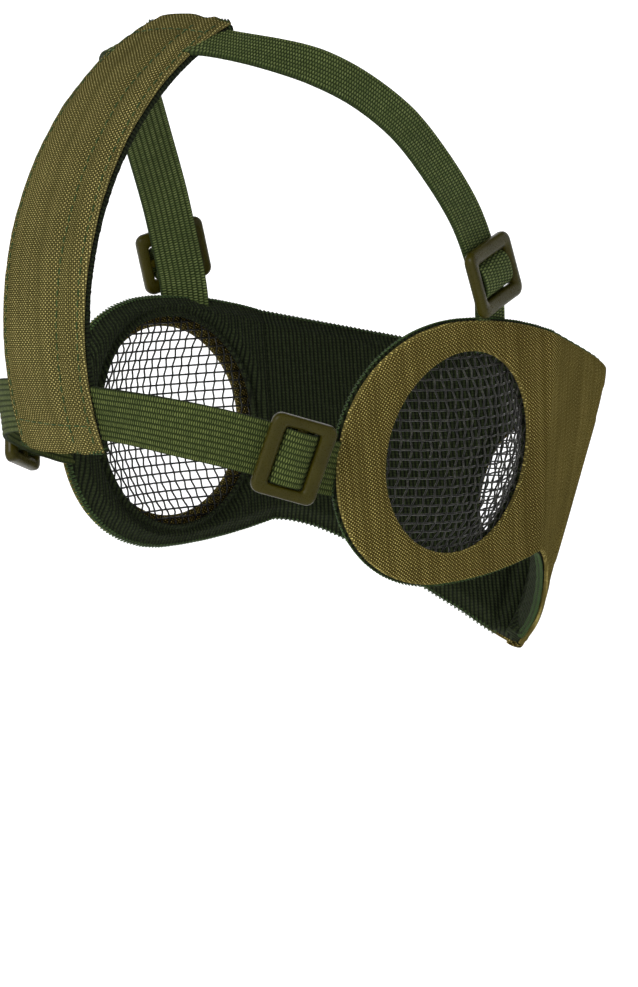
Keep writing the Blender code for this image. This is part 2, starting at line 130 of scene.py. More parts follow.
# Wire, thread and webbing
WIRE_PITCH = 0.0032
WIRE_RADIUS = 0.00034
THREAD_RADIUS = 0.00023
TUBE_TILT = 0.01                # keeps a wound thread's frame off its own direction
SERGE_PITCH = 0.0016
SERGE_WIDTH = 0.0010
WEB_WIDTH = 0.0185
WEB_THICKNESS = 0.0018
LOOP_THICKNESS = 0.0014
STRAP_HIDDEN = 0.0080           # end that runs on inside the pad
STRAP_TWIST = 0.040             # length over which it turns to lie flat there
STRAPS = {
    "lower": {
        "route": ((0.0676, 0.0572, -0.0007), (0.0666, 0.0690, 0.0030), (0.0550, 0.0895, 0.0098),
                  (0.0390, 0.1052, 0.0147), (0.0212, 0.1134, 0.0172)),
        "wraps_round": (0.0, 0.010, 0.010),
        "tuck": (-0.0920, -0.0035),
        "glide_at": 0.0147,
        "ribs": 10,
        "rib_height": 0.00034,
    },
    "upper": {
        "route": ((0.0766, -0.0116, 0.0470), (0.0768, -0.0092, 0.0580), (0.0742, 0.0005, 0.0828),
                  (0.0640, 0.0200, 0.1115), (0.0480, 0.0420, 0.1285), (0.0212, 0.0640, 0.1368)),
        "wraps_round": (0.0, 0.010, 0.055),
        "tuck": (-0.0335, 0.0375),
        "glide_at": 0.0124,
        "ribs": 9,
        "rib_height": 0.00024,
    },
}

# Tri-glide buckle
GLIDE_LENGTH = 0.0230
GLIDE_WIDTH = 0.0275
GLIDE_END_BAR = 0.0052
GLIDE_RAIL = 0.0040
GLIDE_HEIGHT = 0.0040
GLIDE_BAR_HEIGHT = 0.0020
GLIDE_BAR_HALF = 0.0015
GAP = 0.0003

# Rear pad
PAD_CENTRE = Vector((0.0, 0.013, 0.045))
PAD_RADIUS = 0.1093
PAD_START = math.radians(-22.6)
PAD_END = math.radians(67)
PAD_HALF_WIDTH = 0.0205
PAD_CROWN = 0.0020
PAD_COVER_DEPTH = 0.0030
PAD_THICKNESS = 0.0060
PAD_LINES = (-0.0180, 0.0180, -0.0092)
PAD_END_LINE = 0.010
SWELL_PRESSURE = 4.0
SWELL_FRAMES = 20
SWELL_CAP = 0.0016

# Camera (direction from the mask, distance, lens and the point it is aimed at), floor and lights
CAMERA_BEHIND = math.radians(46)
CAMERA_RISE = math.radians(6)
CAMERA_DISTANCE = 1.300
CAMERA_LENS = 135.6
CAMERA_SENSOR = 36.0
AIM_RIGHT = 0.0042
AIM_DOWN = 0.0201
FLOOR_Z = -0.42
FLOOR_GLOW = 0.44
FLOOR_RINGS = ((0.0001, 0.0), (1.0, 0.0), (2.2, 0.0), (3.0, 0.1), (3.6, 0.5), (3.9, 1.2),
               (4.0, 3.5))
SURROUND_STRENGTH = 0.13
LIGHTS = (("key", (-0.5, 2.0, 1.0), 0.9, 46), ("top_fill", (-0.9, 0.4, 2.0), 1.2, 2),
          ("far_fill", (1.6, -0.9, 1.2), 1.6, 5))


# ---------------------------------------------------------------- small sums

def lengths_along(points):
    """Distance of each point from the first, measured along the line through them."""
    steps = np.linalg.norm(np.diff(points, axis=0), axis=1)
    return np.concatenate(((0.0,), np.cumsum(steps)))


def unit(vectors):
    """Vectors, one in each row, at a length of 1."""
    return vectors / np.linalg.norm(vectors, axis=1)[:, None]


def full_turn(count):
    """Evenly spaced angles once round."""
    return np.linspace(0.0, 2 * math.pi, count, endpoint=False)


def squared_off(value, power):
    """Sine or cosine pushed outwards, so that a round section gets flatter sides."""
    return math.copysign(abs(value) ** power, value)


def smoothstep(share):
    """Smooth rise from 0 to 1."""
    share = np.clip(share, 0.0, 1.0)
    return share * share * (3 - 2 * share)


def hill(distance, width):
    """Smooth hill of height 1 over a distance of 0."""
    return math.exp(-(distance / width) ** 2)


# ---------------------------------------------------------------- surface of a half

def ear_half_width(y, z):
    """Distance of the ear panel's outer surface from the middle plane."""
    return EAR_HALF_SPACING - y * y / (2 * EAR_BOW_RADIUS) + EAR_TILT * z


def keel_y(z):
    """Y of the keel, where the two cheeks meet, at a height."""
    nose = NOSE_ROUND * max(0.0, z) ** 2
    chin = CHIN_TUCK * min(0.0, z - CHIN_TUCK_Z) ** 2
    return KEEL_Y - KEEL_LEAN * z + nose + chin


def cheek_plan(z, steps=300):
    """Plan curve of the cheek at a height, from the bend to the keel, with its lengths."""
    bend = np.array((ear_half_width(BEND_Y, z), BEND_Y))
    keel = np.array((0.0, keel_y(z)))
    share = 1.0 - CORNER_X / bend[0]
    bulge = CORNER_BULGE + CORNER_BULGE_SLOPE * z
    corner = bend + (keel - bend) * share - np.array((0.0, bulge))
    u = np.linspace(0.0, 1.0, steps)[:, None]
    middle = 2 * CORNER_WEIGHT * u * (1 - u)
    total = (1 - u) ** 2 + middle + u ** 2
    points = ((1 - u) ** 2 * bend + middle * corner + u ** 2 * keel) / total
    return points, lengths_along(points)


class Surface:
    """Outer surface of the half at +X, tabulated once and then interpolated."""

    STEP = 0.0005
    LOW_Z = -0.100
    HIGH_Z = 0.060
    LOW_ALONG = -0.110
    HIGH_ALONG = 0.130

    def __init__(self):
        self.heights = np.arange(self.LOW_Z, self.HIGH_Z, self.STEP)
        self.alongs = np.arange(self.LOW_ALONG, self.HIGH_ALONG, self.STEP)
        ear = self.alongs <= 0
        y = BEND_Y - self.alongs[ear]
        self.x = np.empty((len(self.heights), len(self.alongs)))
        self.y = np.empty_like(self.x)
        self.keel = np.empty(len(self.heights))
        for row, z in enumerate(self.heights):
            points, lengths = cheek_plan(z)
            self.x[row, ear] = ear_half_width(y, z)
            self.y[row, ear] = y
            self.x[row, ~ear] = np.interp(self.alongs[~ear], lengths, points[:, 0])
            self.y[row, ~ear] = np.interp(self.alongs[~ear], lengths, points[:, 1])
            self.keel[row] = lengths[-1]

    def keel_along(self, z):
        """Distance from the bend to the keel, along the cheek at a height."""
        return np.interp(z, self.heights, self.keel)

    def point(self, along, z):
        """Points of the outer surface."""
        row = np.clip((z - self.LOW_Z) / self.STEP, 0, len(self.heights) - 1.001)
        column = np.clip((along - self.LOW_ALONG) / self.STEP, 0, len(self.alongs) - 1.001)
        i, j = row.astype(int), column.astype(int)
        a, b = row - i, column - j
        found = []
        for table in (self.x, self.y):
            lower = table[i, j] * (1 - b) + table[i, j + 1] * b
            upper = table[i + 1, j] * (1 - b) + table[i + 1, j + 1] * b
            found.append(lower * (1 - a) + upper * a)
        return np.stack((found[0], found[1], z), axis=-1)

    def place(self, along, z, depth, side):
        """World points at a depth below the surface of one half, and the outward normals there."""
        along = np.atleast_1d(np.asarray(along, float))
        z = np.broadcast_to(np.asarray(z, float), along.shape)
        step = 0.0015
        forward = self.point(along + step, z) - self.point(along - step, z)
        upward = self.point(along, z + step) - self.point(along, z - step)
        normal = unit(np.cross(upward, forward))
        depth = np.broadcast_to(np.asarray(depth, float), along.shape)
        points = self.point(along, z) - normal * depth[:, None]
        mirror = np.array((side, 1.0, 1.0))
        return points * mirror, normal * mirror


surface = Surface()


# ---------------------------------------------------------------- outlines, as (along, z)

def top_edge(along):
    """Height of the panel's top edge."""
    if along > 0:
        return TOP_AT_BEND - CHEEK_TOP_SLOPE * along
    span = EAR_ROUND_Y - BEND_Y
    forward = min(1.0, (span + along) / span)
    return EAR_HALF_HEIGHT + (TOP_AT_BEND - EAR_HALF_HEIGHT) * forward * forward


def bottom_edge(along):
    """Height of the panel's bottom edge, which drops to the chin at the keel."""
    if along > 0:
        corner = float(surface.keel_along(CHIN_Z))
        rest = 1 - smoothstep(corner / CHIN_ALONG)
        last = smoothstep((along - corner) / CHIN_CURVE + 1)
        share = smoothstep(along / CHIN_ALONG) + rest * last
        return BOTTOM_AT_BEND + (CHIN_Z - BOTTOM_AT_BEND) * share
    span = EAR_ROUND_Y - BEND_Y
    forward = min(1.0, (span + along) / span)
    return -EAR_HALF_HEIGHT + (BOTTOM_AT_BEND + EAR_HALF_HEIGHT) * forward * forward


def beside_keel(share, offset, grow):
    """Place beside the keel, a share of the way down from the top edge to the bottom edge."""
    z = 0.0
    for _ in range(8):
        along = float(surface.keel_along(z)) - offset
        top, bottom = top_edge(along) + grow, bottom_edge(along) - grow
        z = top + (bottom - top) * share
    return along, z


def panel_edges(keel_gap, grow):
    """Free edge of a panel from the nose back over the ear to the chin, and the keel edge."""
    front, nose = beside_keel(0.0, keel_gap, grow)
    chin, foot = beside_keel(1.0, keel_gap, grow)
    rear = BEND_Y - EAR_ROUND_Y
    free = [(along, top_edge(along) + grow) for along in np.linspace(front, rear, 120)]
    for angle in np.linspace(math.pi / 2, -math.pi / 2, 90)[1:-1]:
        lift = abs(math.sin(angle)) ** (2 / EAR_POWER)
        reach = (EAR_REAR_LENGTH + grow) * math.cos(angle) ** (2 / EAR_POWER)
        free.append((rear - reach, math.copysign((EAR_HALF_HEIGHT + grow) * lift, angle)))
    free += [(along, bottom_edge(along) - grow) for along in np.linspace(rear, chin, 120)]
    heights = np.linspace(foot, nose, 60)[1:-1]
    keel = [(float(surface.keel_along(z)) - keel_gap, z) for z in heights]
    return free, keel


def even(points, spacing, closed):
    """Points moved to an even spacing along the line through them."""
    line = np.array(points + points[:1] if closed else points)
    lengths = lengths_along(line)
    count = max(8, round(lengths[-1] / spacing))
    grid = np.linspace(0.0, lengths[-1], count, endpoint=not closed)
    return np.stack([np.interp(grid, lengths, line[:, k]) for k in range(line.shape[1])], axis=1)


def window_loop(radius):
    """Round edge of the ear window."""
    turns = full_turn(200)
    return [(BEND_Y + radius * math.cos(t), radius * math.sin(t)) for t in turns]


def vent_loop(grow):
    """Oval edge of the mouth vent, which leans with the keel."""
    loop = []
    for turn in full_turn(120):
        z = VENT_Z + (VENT_HALF_HEIGHT + grow) * math.sin(turn)
        middle = float(surface.keel_along(z)) - VENT_FROM_KEEL
        loop.append((middle + (VENT_HALF_WIDTH + grow) * math.cos(turn), z))
    return loop


def panel_loops(keel_gap, grow, window_radius, vent_grow):
    """Free edge of a panel, and the outline, window and vent of its sheet."""
    free, keel = panel_edges(keel_gap, grow)
    return free, [even(free + keel, EDGE_STEP, True),
                  even(window_loop(window_radius), EDGE_STEP, True),
                  even(vent_loop(vent_grow), VENT_STEP, True)]


# ---------------------------------------------------------------- building meshes

class Shape:
    """Points, faces and cloth measures of a piece while it is built."""

    def __init__(self):
        self.points = []
        self.faces = []
        self.cloth = []
        self.count = 0

    def add(self, points, faces, cloth):
        """Add a part, whose faces are numbered from its own first point."""
        self.points.append(np.asarray(points, float))
        self.cloth.append(np.asarray(cloth, float))
        self.faces += [tuple(index + self.count for index in face) for face in faces]
        self.count += len(points)

    def rings(self, rings, cloth, caps=True):
        """Join closed rings, as an array of (ring, point, 3), into a skin."""
        count, size = rings.shape[:2]
        faces = []
        for i in range(count - 1):
            for j in range(size):
                k = (j + 1) % size
                faces.append((i * size + j, i * size + k, (i + 1) * size + k, (i + 1) * size + j))
        if caps:
            faces.append(tuple(range(size))[::-1])
            faces.append(tuple((count - 1) * size + j for j in range(size)))
        self.add(rings.reshape(-1, 3), faces, cloth.reshape(-1, 3))

    def tube(self, path, normals, radius, sides=6):
        """Round thread or wire along a path, with a direction for its frame at each point."""
        tangents = unit(np.gradient(path, axis=0))
        normals = unit(normals - tangents * np.sum(normals * tangents, axis=1)[:, None])
        across = np.cross(tangents, normals)
        turns = full_turn(sides)
        ring = (np.cos(turns)[None, :, None] * across[:, None]
                + np.sin(turns)[None, :, None] * normals[:, None])
        rings = path[:, None] + radius * ring
        cloth = np.zeros(rings.shape)
        cloth[:, :, 0] = lengths_along(path)[:, None]
        cloth[:, :, 1] = radius * turns[None, :]
        self.rings(rings, cloth)

    def build(self, name, material):
        """Object with this shape, its cloth measures and its material."""
        mesh = bpy.data.meshes.new(name)
        mesh.from_pydata(np.concatenate(self.points).tolist(), [], self.faces)
        mesh.validate()
        cloth = mesh.attributes.new("cloth", "FLOAT_VECTOR", "POINT")
        cloth.data.foreach_set("vector", np.concatenate(self.cloth).astype(np.float32).ravel())
        mesh.shade_smooth()
        mesh.materials.append(material)
        made = bpy.data.objects.new(name, mesh)
        bpy.context.scene.collection.objects.link(made)
        return made


def inside(points, loops):
    """True for the points inside the first loop and outside the others."""
    result = np.zeros(len(points), bool)
    for loop in loops:
        start, end = loop, np.roll(loop, -1, axis=0)
        for (x0, y0), (x1, y1) in zip(start, end):
            if y0 == y1:
                continue
            crosses = (points[:, 1] < y0) != (points[:, 1] < y1)
            at = x0 + (points[:, 1] - y0) * (x1 - x0) / (y1 - y0)
            result ^= crosses & (points[:, 0] < at)
    return result


def triangulate(loops, spacing):
    """Flat mesh of an outline with holes: points, triangles and distances to an edge."""
    border = np.concatenate(loops)
    tree = kdtree.KDTree(len(border))
    for index, (x, y) in enumerate(border):
        tree.insert((x, y, 0.0), index)
    tree.balance()

    def distances(points):
        return np.array([tree.find((x, y, 0.0))[2] for x, y in points])

    low, high = loops[0].min(0), loops[0].max(0)
    lattice = []
    for number, z in enumerate(np.arange(low[1], high[1], spacing * 0.866)):
        columns = np.arange(low[0] + spacing / 2 * (number % 2), high[0], spacing)
        lattice += [(x, z) for x in columns]
    rim = []
    for loop in loops:
        tangent = unit(np.roll(loop, -1, axis=0) - np.roll(loop, 1, axis=0))
        sideways = np.stack((-tangent[:, 1], tangent[:, 0]), axis=1)
        for offset in RIM_OFFSETS:
            rim += [tuple(p) for p in loop + sideways * offset]
            rim += [tuple(p) for p in loop - sideways * offset]
    lattice = np.array(lattice)
    rim = np.array(rim)
    lattice = lattice[inside(lattice, loops)]
    rim = rim[inside(rim, loops)]
    far = distances(lattice) > RIM_OFFSETS[1] + 0.35 * spacing
    clear = distances(rim) > 0.8 * RIM_OFFSETS[0]
    points = np.concatenate((border, rim[clear], lattice[far]))
    edges = []
    first = 0
    for loop in loops:
        size = len(loop)
        edges += [(first + i, first + (i + 1) % size) for i in range(size)]
        first += size
    found = geometry.delaunay_2d_cdt([Vector(p) for p in points], edges, [], 0, 1e-7, False)
    points = np.array([tuple(p) for p in found[0]])
    triangles = np.array(found[2])
    triangles = triangles[inside(points[triangles].mean(axis=1), loops)]
    return points, triangles, distances(points)


def panel_sheet(name, side, loops, spacing, profile, material):
    """Sheet between the two depths that a profile gives, from (along, z, distance to an edge)."""
    points, triangles, distance = triangulate(loops, spacing)
    top, bottom = profile(points[:, 0], points[:, 1], distance)
    outer, _ = surface.place(points[:, 0], points[:, 1], top, side)
    inner, _ = surface.place(points[:, 0], points[:, 1], bottom, side)
    count = len(points)
    turned = side < 0
    directed = dict.fromkeys(edge for a, b, c in triangles for edge in ((a, b), (b, c), (c, a)))
    faces = []
    for a, b, c in triangles:
        outside = (c, b, a) if turned else (a, b, c)
        faces.append(outside)
        faces.append(tuple(index + count for index in reversed(outside)))
    for a, b in directed:
        if (b, a) not in directed:
            wall = (b, a, a + count, b + count)
            faces.append(wall[::-1] if turned else wall)
    shape = Shape()
    measure = np.stack((points[:, 0], points[:, 1], np.minimum(distance, 0.02)), axis=1)
    shape.add(np.concatenate((outer, inner)), faces, np.concatenate((measure, measure)))
    area = 0.5 * abs(np.cross(points[triangles[:, 1]] - points[triangles[:, 0]],
                              points[triangles[:, 2]] - points[triangles[:, 0]])).sum()
    return shape.build(name, material), area, np.ptp(points, axis=0)


# ---------------------------------------------------------------- materials

def linear(red, green, blue):
    """Scene-linear colour from display values from 0 to 255."""
    values = []
    for value in (red, green, blue):
        share = value / 255
        values.append(share / 12.92 if share <= 0.04045 else ((share + 0.055) / 1.055) ** 2.4)
    return (*values, 1.0)


class Graph:
    """A material whose node tree is written as short calls."""

    def __init__(self, name, **shader):
        self.material = bpy.data.materials.new(name)
        self.material.use_nodes = True
        self.tree = self.material.node_tree
        self.shader = self.tree.nodes["Principled BSDF"]
        for socket, value in shader.items():
            self.shader.inputs[socket.replace("_", " ")].default_value = value

    def add(self, kind, inputs, **settings):
        """New node with its settings and its inputs, which are values or other sockets."""
        made = self.tree.nodes.new(kind)
        for key, value in settings.items():
            setattr(made, key, value)
        for key, value in inputs.items():
            if isinstance(value, bpy.types.NodeSocket):
                self.tree.links.new(value, made.inputs[key])
            else:
                made.inputs[key].default_value = value
        return made

    def math(self, operation, a, b=0.0):
        """Result of one sum."""
        return self.add("ShaderNodeMath", {0: a, 1: b}, operation=operation).outputs[0]

    def times(self, a, b):
        """Product of two values."""
        return self.math("MULTIPLY", a, b)

    def plus(self, a, b):
        """Sum of two values."""
        return self.math("ADD", a, b)

    def mix(self, factor, a, b):
        """Colour between two colours."""
        made = self.add("ShaderNodeMix", {0: factor, 6: a, 7: b}, data_type="RGBA")
        return made.outputs[2]

    def cloth(self):
        """Cloth measures: along, across and distance to an edge, in metres."""
        read = self.add("ShaderNodeAttribute", {}, attribute_name="cloth")
        split = self.add("ShaderNodeSeparateXYZ", {0: read.outputs["Vector"]})
        return read.outputs["Vector"], split.outputs[0], split.outputs[1], split.outputs[2]

    def place(self):
        """Position in the object's own space, in metres."""
        return self.add("ShaderNodeTexCoord", {}).outputs["Object"]

    def noise(self, vector, scale, detail=2.0):
        """Cloudy value from 0 to 1."""
        made = self.add("ShaderNodeTexNoise", {"Vector": vector, "Scale": scale, "Detail": detail})
        return made.outputs[0]

    def wave(self, value, period):
        """Sine of a measure, with a period for one thread from edge to edge."""
        return self.math("SINE", self.times(value, math.pi / period))

    def number(self, value, period):
        """Whole number of the thread or rib at a measure."""
        return self.math("FLOOR", self.math("DIVIDE", value, period))

    def chance(self, value):
        """Random value from 0 to 1 for a whole number."""
        made = self.add("ShaderNodeTexWhiteNoise", {"W": value}, noise_dimensions="1D")
        return made.outputs[0]

    def range(self, value, low, high, new_low=0.0, new_high=1.0):
        """Value moved from one range to another, and kept in it."""
        made = self.add("ShaderNodeMapRange", {0: value, 1: low, 2: high, 3: new_low, 4: new_high})
        return made.outputs[0]

    def finish(self, colour, roughness, height, bump_distance, bump_strength=1.0):
        """Connect colour, roughness and bump to the shader."""
        self.tree.links.new(colour, self.shader.inputs["Base Color"])
        self.tree.links.new(roughness, self.shader.inputs["Roughness"])
        bump = self.add("ShaderNodeBump", {"Height": height, "Distance": bump_distance,
                                           "Strength": bump_strength})
        self.tree.links.new(bump.outputs[0], self.shader.inputs["Normal"])
        return self.material


def woven_fabric(name, light, middle, dark, period, bias):
    """Coarse plain weave of thick yarn, cut at an angle, with painted highlights on the thread
    crowns (brighter on one thread direction), painted shade in the gaps between threads, and edges
    worn lighter.
    """
    graph = Graph(name, Specular_IOR_Level=0.0)
    vector, _, _, edge = graph.cloth()
    turned = graph.add("ShaderNodeVectorRotate", {"Vector": vector, "Angle": bias},
                       rotation_type="Z_AXIS")
    split = graph.add("ShaderNodeSeparateXYZ", {0: turned.outputs[0]})
    wander = graph.noise(vector, 420.0)
    wobble = graph.range(wander, 0.0, 1.0, -0.22 * period, 0.22 * period)
    u = graph.plus(split.outputs[0], wobble)
    v = graph.plus(split.outputs[1], wobble)
    product = graph.times(graph.wave(u, period), graph.wave(v, period))
    crown = graph.math("POWER", graph.math("ABSOLUTE", product), 0.5)
    warp = graph.range(product, -0.2, 0.2)
    yarn_one = graph.chance(graph.number(u, period))
    yarn_two = graph.chance(graph.plus(graph.number(v, period), 731.0))
    yarn = graph.plus(graph.times(warp, yarn_one),
                      graph.times(graph.math("SUBTRACT", 1.0, warp), yarn_two))
    # lit: painted light on the thread crowns, dimmer on one thread direction; where it is low, the
    # gaps between threads get painted shade
    lit = graph.times(crown, graph.range(warp, 0.0, 1.0, 0.62, 1.0))
    body = graph.mix(graph.range(lit, 0.15, 0.66), dark, middle)
    yarn_tint = graph.range(yarn, 0.0, 1.0, 0.35, 1.0)
    # painted highlight on the brightest crowns, varied at random from yarn to yarn
    colour = graph.mix(graph.times(graph.range(lit, 0.60, 0.98), yarn_tint), body, light)
    cloud = graph.noise(graph.place(), 38.0, 4.0)
    colour = graph.mix(graph.range(cloud, 0.35, 0.75, 0.0, 0.22), colour, dark)
    worn = graph.range(edge, 0.0, 0.0010, 0.10, 0.0)
    colour = graph.mix(worn, colour, light)
    roughness = graph.range(crown, 0.0, 1.0, 0.95, 0.72)
    fuzz = graph.noise(vector, 5200.0)
    height = graph.plus(crown, graph.times(fuzz, 0.25))
    return graph.finish(colour, roughness, height, 0.00040)


def elastic_webbing(name, light, middle, dark, rib, loop):
    """Knitted elastic: ribs along the strap, and small loops that cross each rib, with painted
    shade between the loops and ribs and painted highlights on their crowns.
    """
    graph = Graph(name, Specular_IOR_Level=0.08)
    vector, along, across, _ = graph.cloth()
    parity = graph.times(graph.number(across, rib), math.pi / 2)
    turned = graph.plus(graph.times(along, math.pi / loop), parity)
    loops = graph.math("ABSOLUTE", graph.math("SINE", turned))
    ribs = graph.math("ABSOLUTE", graph.wave(across, rib))
    crown = graph.math("POWER", graph.times(loops, graph.range(ribs, 0.0, 0.8, 0.25, 1.0)), 0.7)
    tone = graph.chance(graph.plus(graph.number(along, loop), graph.times(parity, 91.7)))
    # painted shade: darker in the hollows between loops and ribs
    body = graph.mix(graph.range(crown, 0.08, 0.75), dark, middle)
    # shine: painted highlight on the loop crowns, stronger on some loops at random
    shine = graph.times(graph.range(crown, 0.70, 1.0), graph.range(tone, 0.0, 1.0, 0.3, 0.85))
    colour = graph.mix(shine, body, light)
    cloud = graph.noise(graph.place(), 55.0, 3.0)
    colour = graph.mix(graph.range(cloud, 0.35, 0.75, 0.0, 0.22), colour, dark)
    roughness = graph.range(crown, 0.0, 1.0, 0.95, 0.70)
    fuzz = graph.noise(vector, 6000.0)
    height = graph.plus(crown, graph.times(fuzz, 0.22))
    return graph.finish(colour, roughness, height, 0.00032)


def ribbed_knit(name, light, dark, rib, stitch):
    """Dark brushed knit, ribbed one way and broken into stitches the other way, with painted
    highlights on the rib crowns and painted shade in the furrows.
    """
    graph = Graph(name, Sheen_Weight=0.01, Sheen_Roughness=0.6, Specular_IOR_Level=0.05)
    vector, along, across, _ = graph.cloth()
    ribs = graph.math("ABSOLUTE", graph.wave(along, rib))
    stitches = graph.math("ABSOLUTE", graph.wave(across, stitch))
    pile = graph.noise(vector, 2600.0, 4.0)
    crown = graph.times(ribs, graph.range(stitches, 0.0, 1.0, 0.55, 1.0))
    # lit: painted highlight on the rib and stitch crowns and painted shade in the furrows, varied
    # at random by the pile
    lit = graph.times(crown, graph.range(pile, 0.25, 0.75, 0.3, 1.0))
    colour = graph.mix(graph.range(lit, 0.1, 0.8), dark, light)
    height = graph.plus(crown, graph.times(pile, 0.8))
    roughness = graph.range(pile, 0.0, 1.0, 0.80, 1.0)
    return graph.finish(colour, roughness, height, 0.00045)


def painted_wire(name, paint, bare):
    """Dark coated steel wire, rubbed bright in small random spots and unevenly coated."""
    graph = Graph(name, Metallic=0.08, Specular_IOR_Level=0.22)
    place = graph.place()
    speckle = graph.noise(place, 1400.0, 3.0)
    patch = graph.noise(place, 160.0, 2.0)
    colour = graph.mix(graph.times(graph.range(speckle, 0.45, 0.75),
                                  graph.range(patch, 0.35, 0.7, 0.15, 1.0)), paint, bare)
    roughness = graph.range(speckle, 0.3, 0.7, 0.28, 0.50)
    return graph.finish(colour, roughness, speckle, 0.00006)


def moulded_plastic(name, light, middle, dark):
    """Semi-gloss moulded nylon with fine texture, flow marks and edges rubbed lighter."""
    graph = Graph(name, Specular_IOR_Level=0.09)
    place = graph.place()
    grain = graph.noise(place, 2400.0, 3.0)
    flow = graph.noise(place, 120.0, 3.0)
    pointed = graph.add("ShaderNodeNewGeometry", {}).outputs["Pointiness"]
    rubbed = graph.times(graph.range(pointed, 0.50, 0.56), graph.range(flow, 0.35, 0.65, 0.2, 0.8))
    colour = graph.mix(graph.range(flow, 0.3, 0.7, 0.0, 0.5), middle, dark)
    colour = graph.mix(rubbed, colour, light)
    roughness = graph.range(grain, 0.3, 0.7, 0.24, 0.36)
    return graph.finish(colour, roughness, grain, 0.00005)


def twisted_thread(name, light, dark):
    """Sewing thread with its plies twisted round each other, with painted highlights on the ply
    crowns and painted shade in the grooves between them.
    """
    graph = Graph(name, Sheen_Weight=0.02, Sheen_Roughness=0.4, Specular_IOR_Level=0.2)
    vector, along, around, _ = graph.cloth()
    twist = graph.plus(graph.times(along, math.pi / 0.0005),
                       graph.times(around, 1 / THREAD_RADIUS))
    ply = graph.math("ABSOLUTE", graph.math("SINE", twist))
    fibre = graph.noise(vector, 5000.0)
    # painted highlight on each ply's crown and painted shade in the grooves between plies, varied
    # by the fibre
    colour = graph.mix(graph.times(ply, graph.range(fibre, 0.2, 0.8, 0.5, 1.0)), dark, light)
    roughness = graph.range(fibre, 0.0, 1.0, 0.6, 0.9)
    return graph.finish(colour, roughness, ply, 0.0001)


# first colour of a woven cloth: painted highlight on the thread crowns, also used for the worn
# edges; last colour: painted shade in the gaps
COVER_CLOTH = woven_fabric("cover_cloth", linear(206, 190, 113), linear(84, 73, 34),
                           linear(22, 18, 6), 0.00066, math.radians(-12))
PAD_CLOTH = woven_fabric("pad_cloth", linear(188, 174, 110), linear(88, 83, 46),
                         linear(26, 24, 11), 0.00070, math.radians(4))
# first colour of a webbing: painted highlight on the loop crowns; last colour: painted shade
# between loops and ribs
LOWER_WEBBING = elastic_webbing("lower_webbing", linear(98, 106, 56), linear(47, 57, 24),
                                linear(11, 16, 5), 0.00185, 0.00075)
UPPER_WEBBING = elastic_webbing("upper_webbing", linear(112, 122, 74), linear(54, 66, 31),
                                linear(13, 19, 7), 0.00206, 0.00095)
WEBBING = {"lower": LOWER_WEBBING, "upper": UPPER_WEBBING}
# first knit colour: painted highlight on the rib crowns; second: painted shade in the furrows
KNIT = ribbed_knit("ribbed_knit", linear(42, 50, 28), linear(9, 12, 6), 0.0015, 0.0011)
WIRE = painted_wire("painted_wire", linear(9, 9, 7), linear(74, 74, 64))
PLASTIC = moulded_plastic("moulded_plastic", linear(76, 70, 22), linear(43, 40, 5),
                          linear(33, 30, 3))
# first thread colour: painted highlight on the ply crowns; second: painted shade in the grooves
THREAD = twisted_thread("green_thread", linear(56, 80, 34), linear(16, 28, 9))
SERGE_THREAD = twisted_thread("serge_thread", linear(66, 92, 42), linear(18, 30, 10))


# ---------------------------------------------------------------- ear and cheek panels

def across_crease(piece):
    """Bake a piece's transform into its mesh."""
    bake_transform(piece)


def pucker(along, z):
    """Lift of the cover: gathers, folds over the window and by the crease, and soft waves."""
    lift = np.empty(len(along))
    for index, (a, b) in enumerate(zip(along, z)):
        beyond = math.hypot(a - BEND_Y, b) - WINDOW_RADIUS
        angle = math.atan2(b, a - BEND_Y)
        drift = noise.noise(Vector((math.cos(angle) * 3, math.sin(angle) * 3, 4.0)))
        soft = noise.noise(Vector((a * 70, b * 70, 1.5)))
        long_wave = noise.noise(Vector((a * 28, b * 34, 8.5)))
        gather = hill(beyond, 0.0065) * math.sin(angle * 27 + 7 * drift) * (0.6 + 0.8 * drift)
        above = smoothstep(0.5 + 0.8 * math.sin(angle - 0.5) + 0.5 * drift)
        folds = 0.0007 * hill(beyond - 0.0045, 0.0028)
        folds += 0.0006 * hill(beyond - 0.0135 - 0.002 * drift, 0.0036)
        upright = hill(a + 0.0040 + 0.003 * soft, 0.0022)
        upright += 0.8 * hill(a - 0.0035 + 0.003 * drift, 0.0024)
        upright *= 0.0006 * smoothstep((abs(b) - 0.014) / 0.012)
        lift[index] = (0.00022 * gather + 0.00016 * soft + 0.00035 * long_wave
                       + folds * above + upright)
    return lift


def edge_roll(distance, radius):
    """Share of the full thickness beside an edge that is rolled to a radius."""
    return np.sqrt(1 - (1 - np.clip(distance / radius, 0, 1)) ** 2)


def cover_profile(along, z, distance):
    """Depths of the cover: its hem is turned in, so it is thicker and rolled at every edge."""
    roll = edge_roll(distance, 0.0009)
    hem = HEM_THICKNESS * smoothstep((HEM_WIDTH - distance) / 0.0018)
    middle = COVER_THICKNESS / 2
    away = smoothstep(distance / 0.003)
    outer = middle - (middle + hem + pucker(along, z) * (0.45 + 0.55 * away)) * roll
    return outer, middle + middle * roll


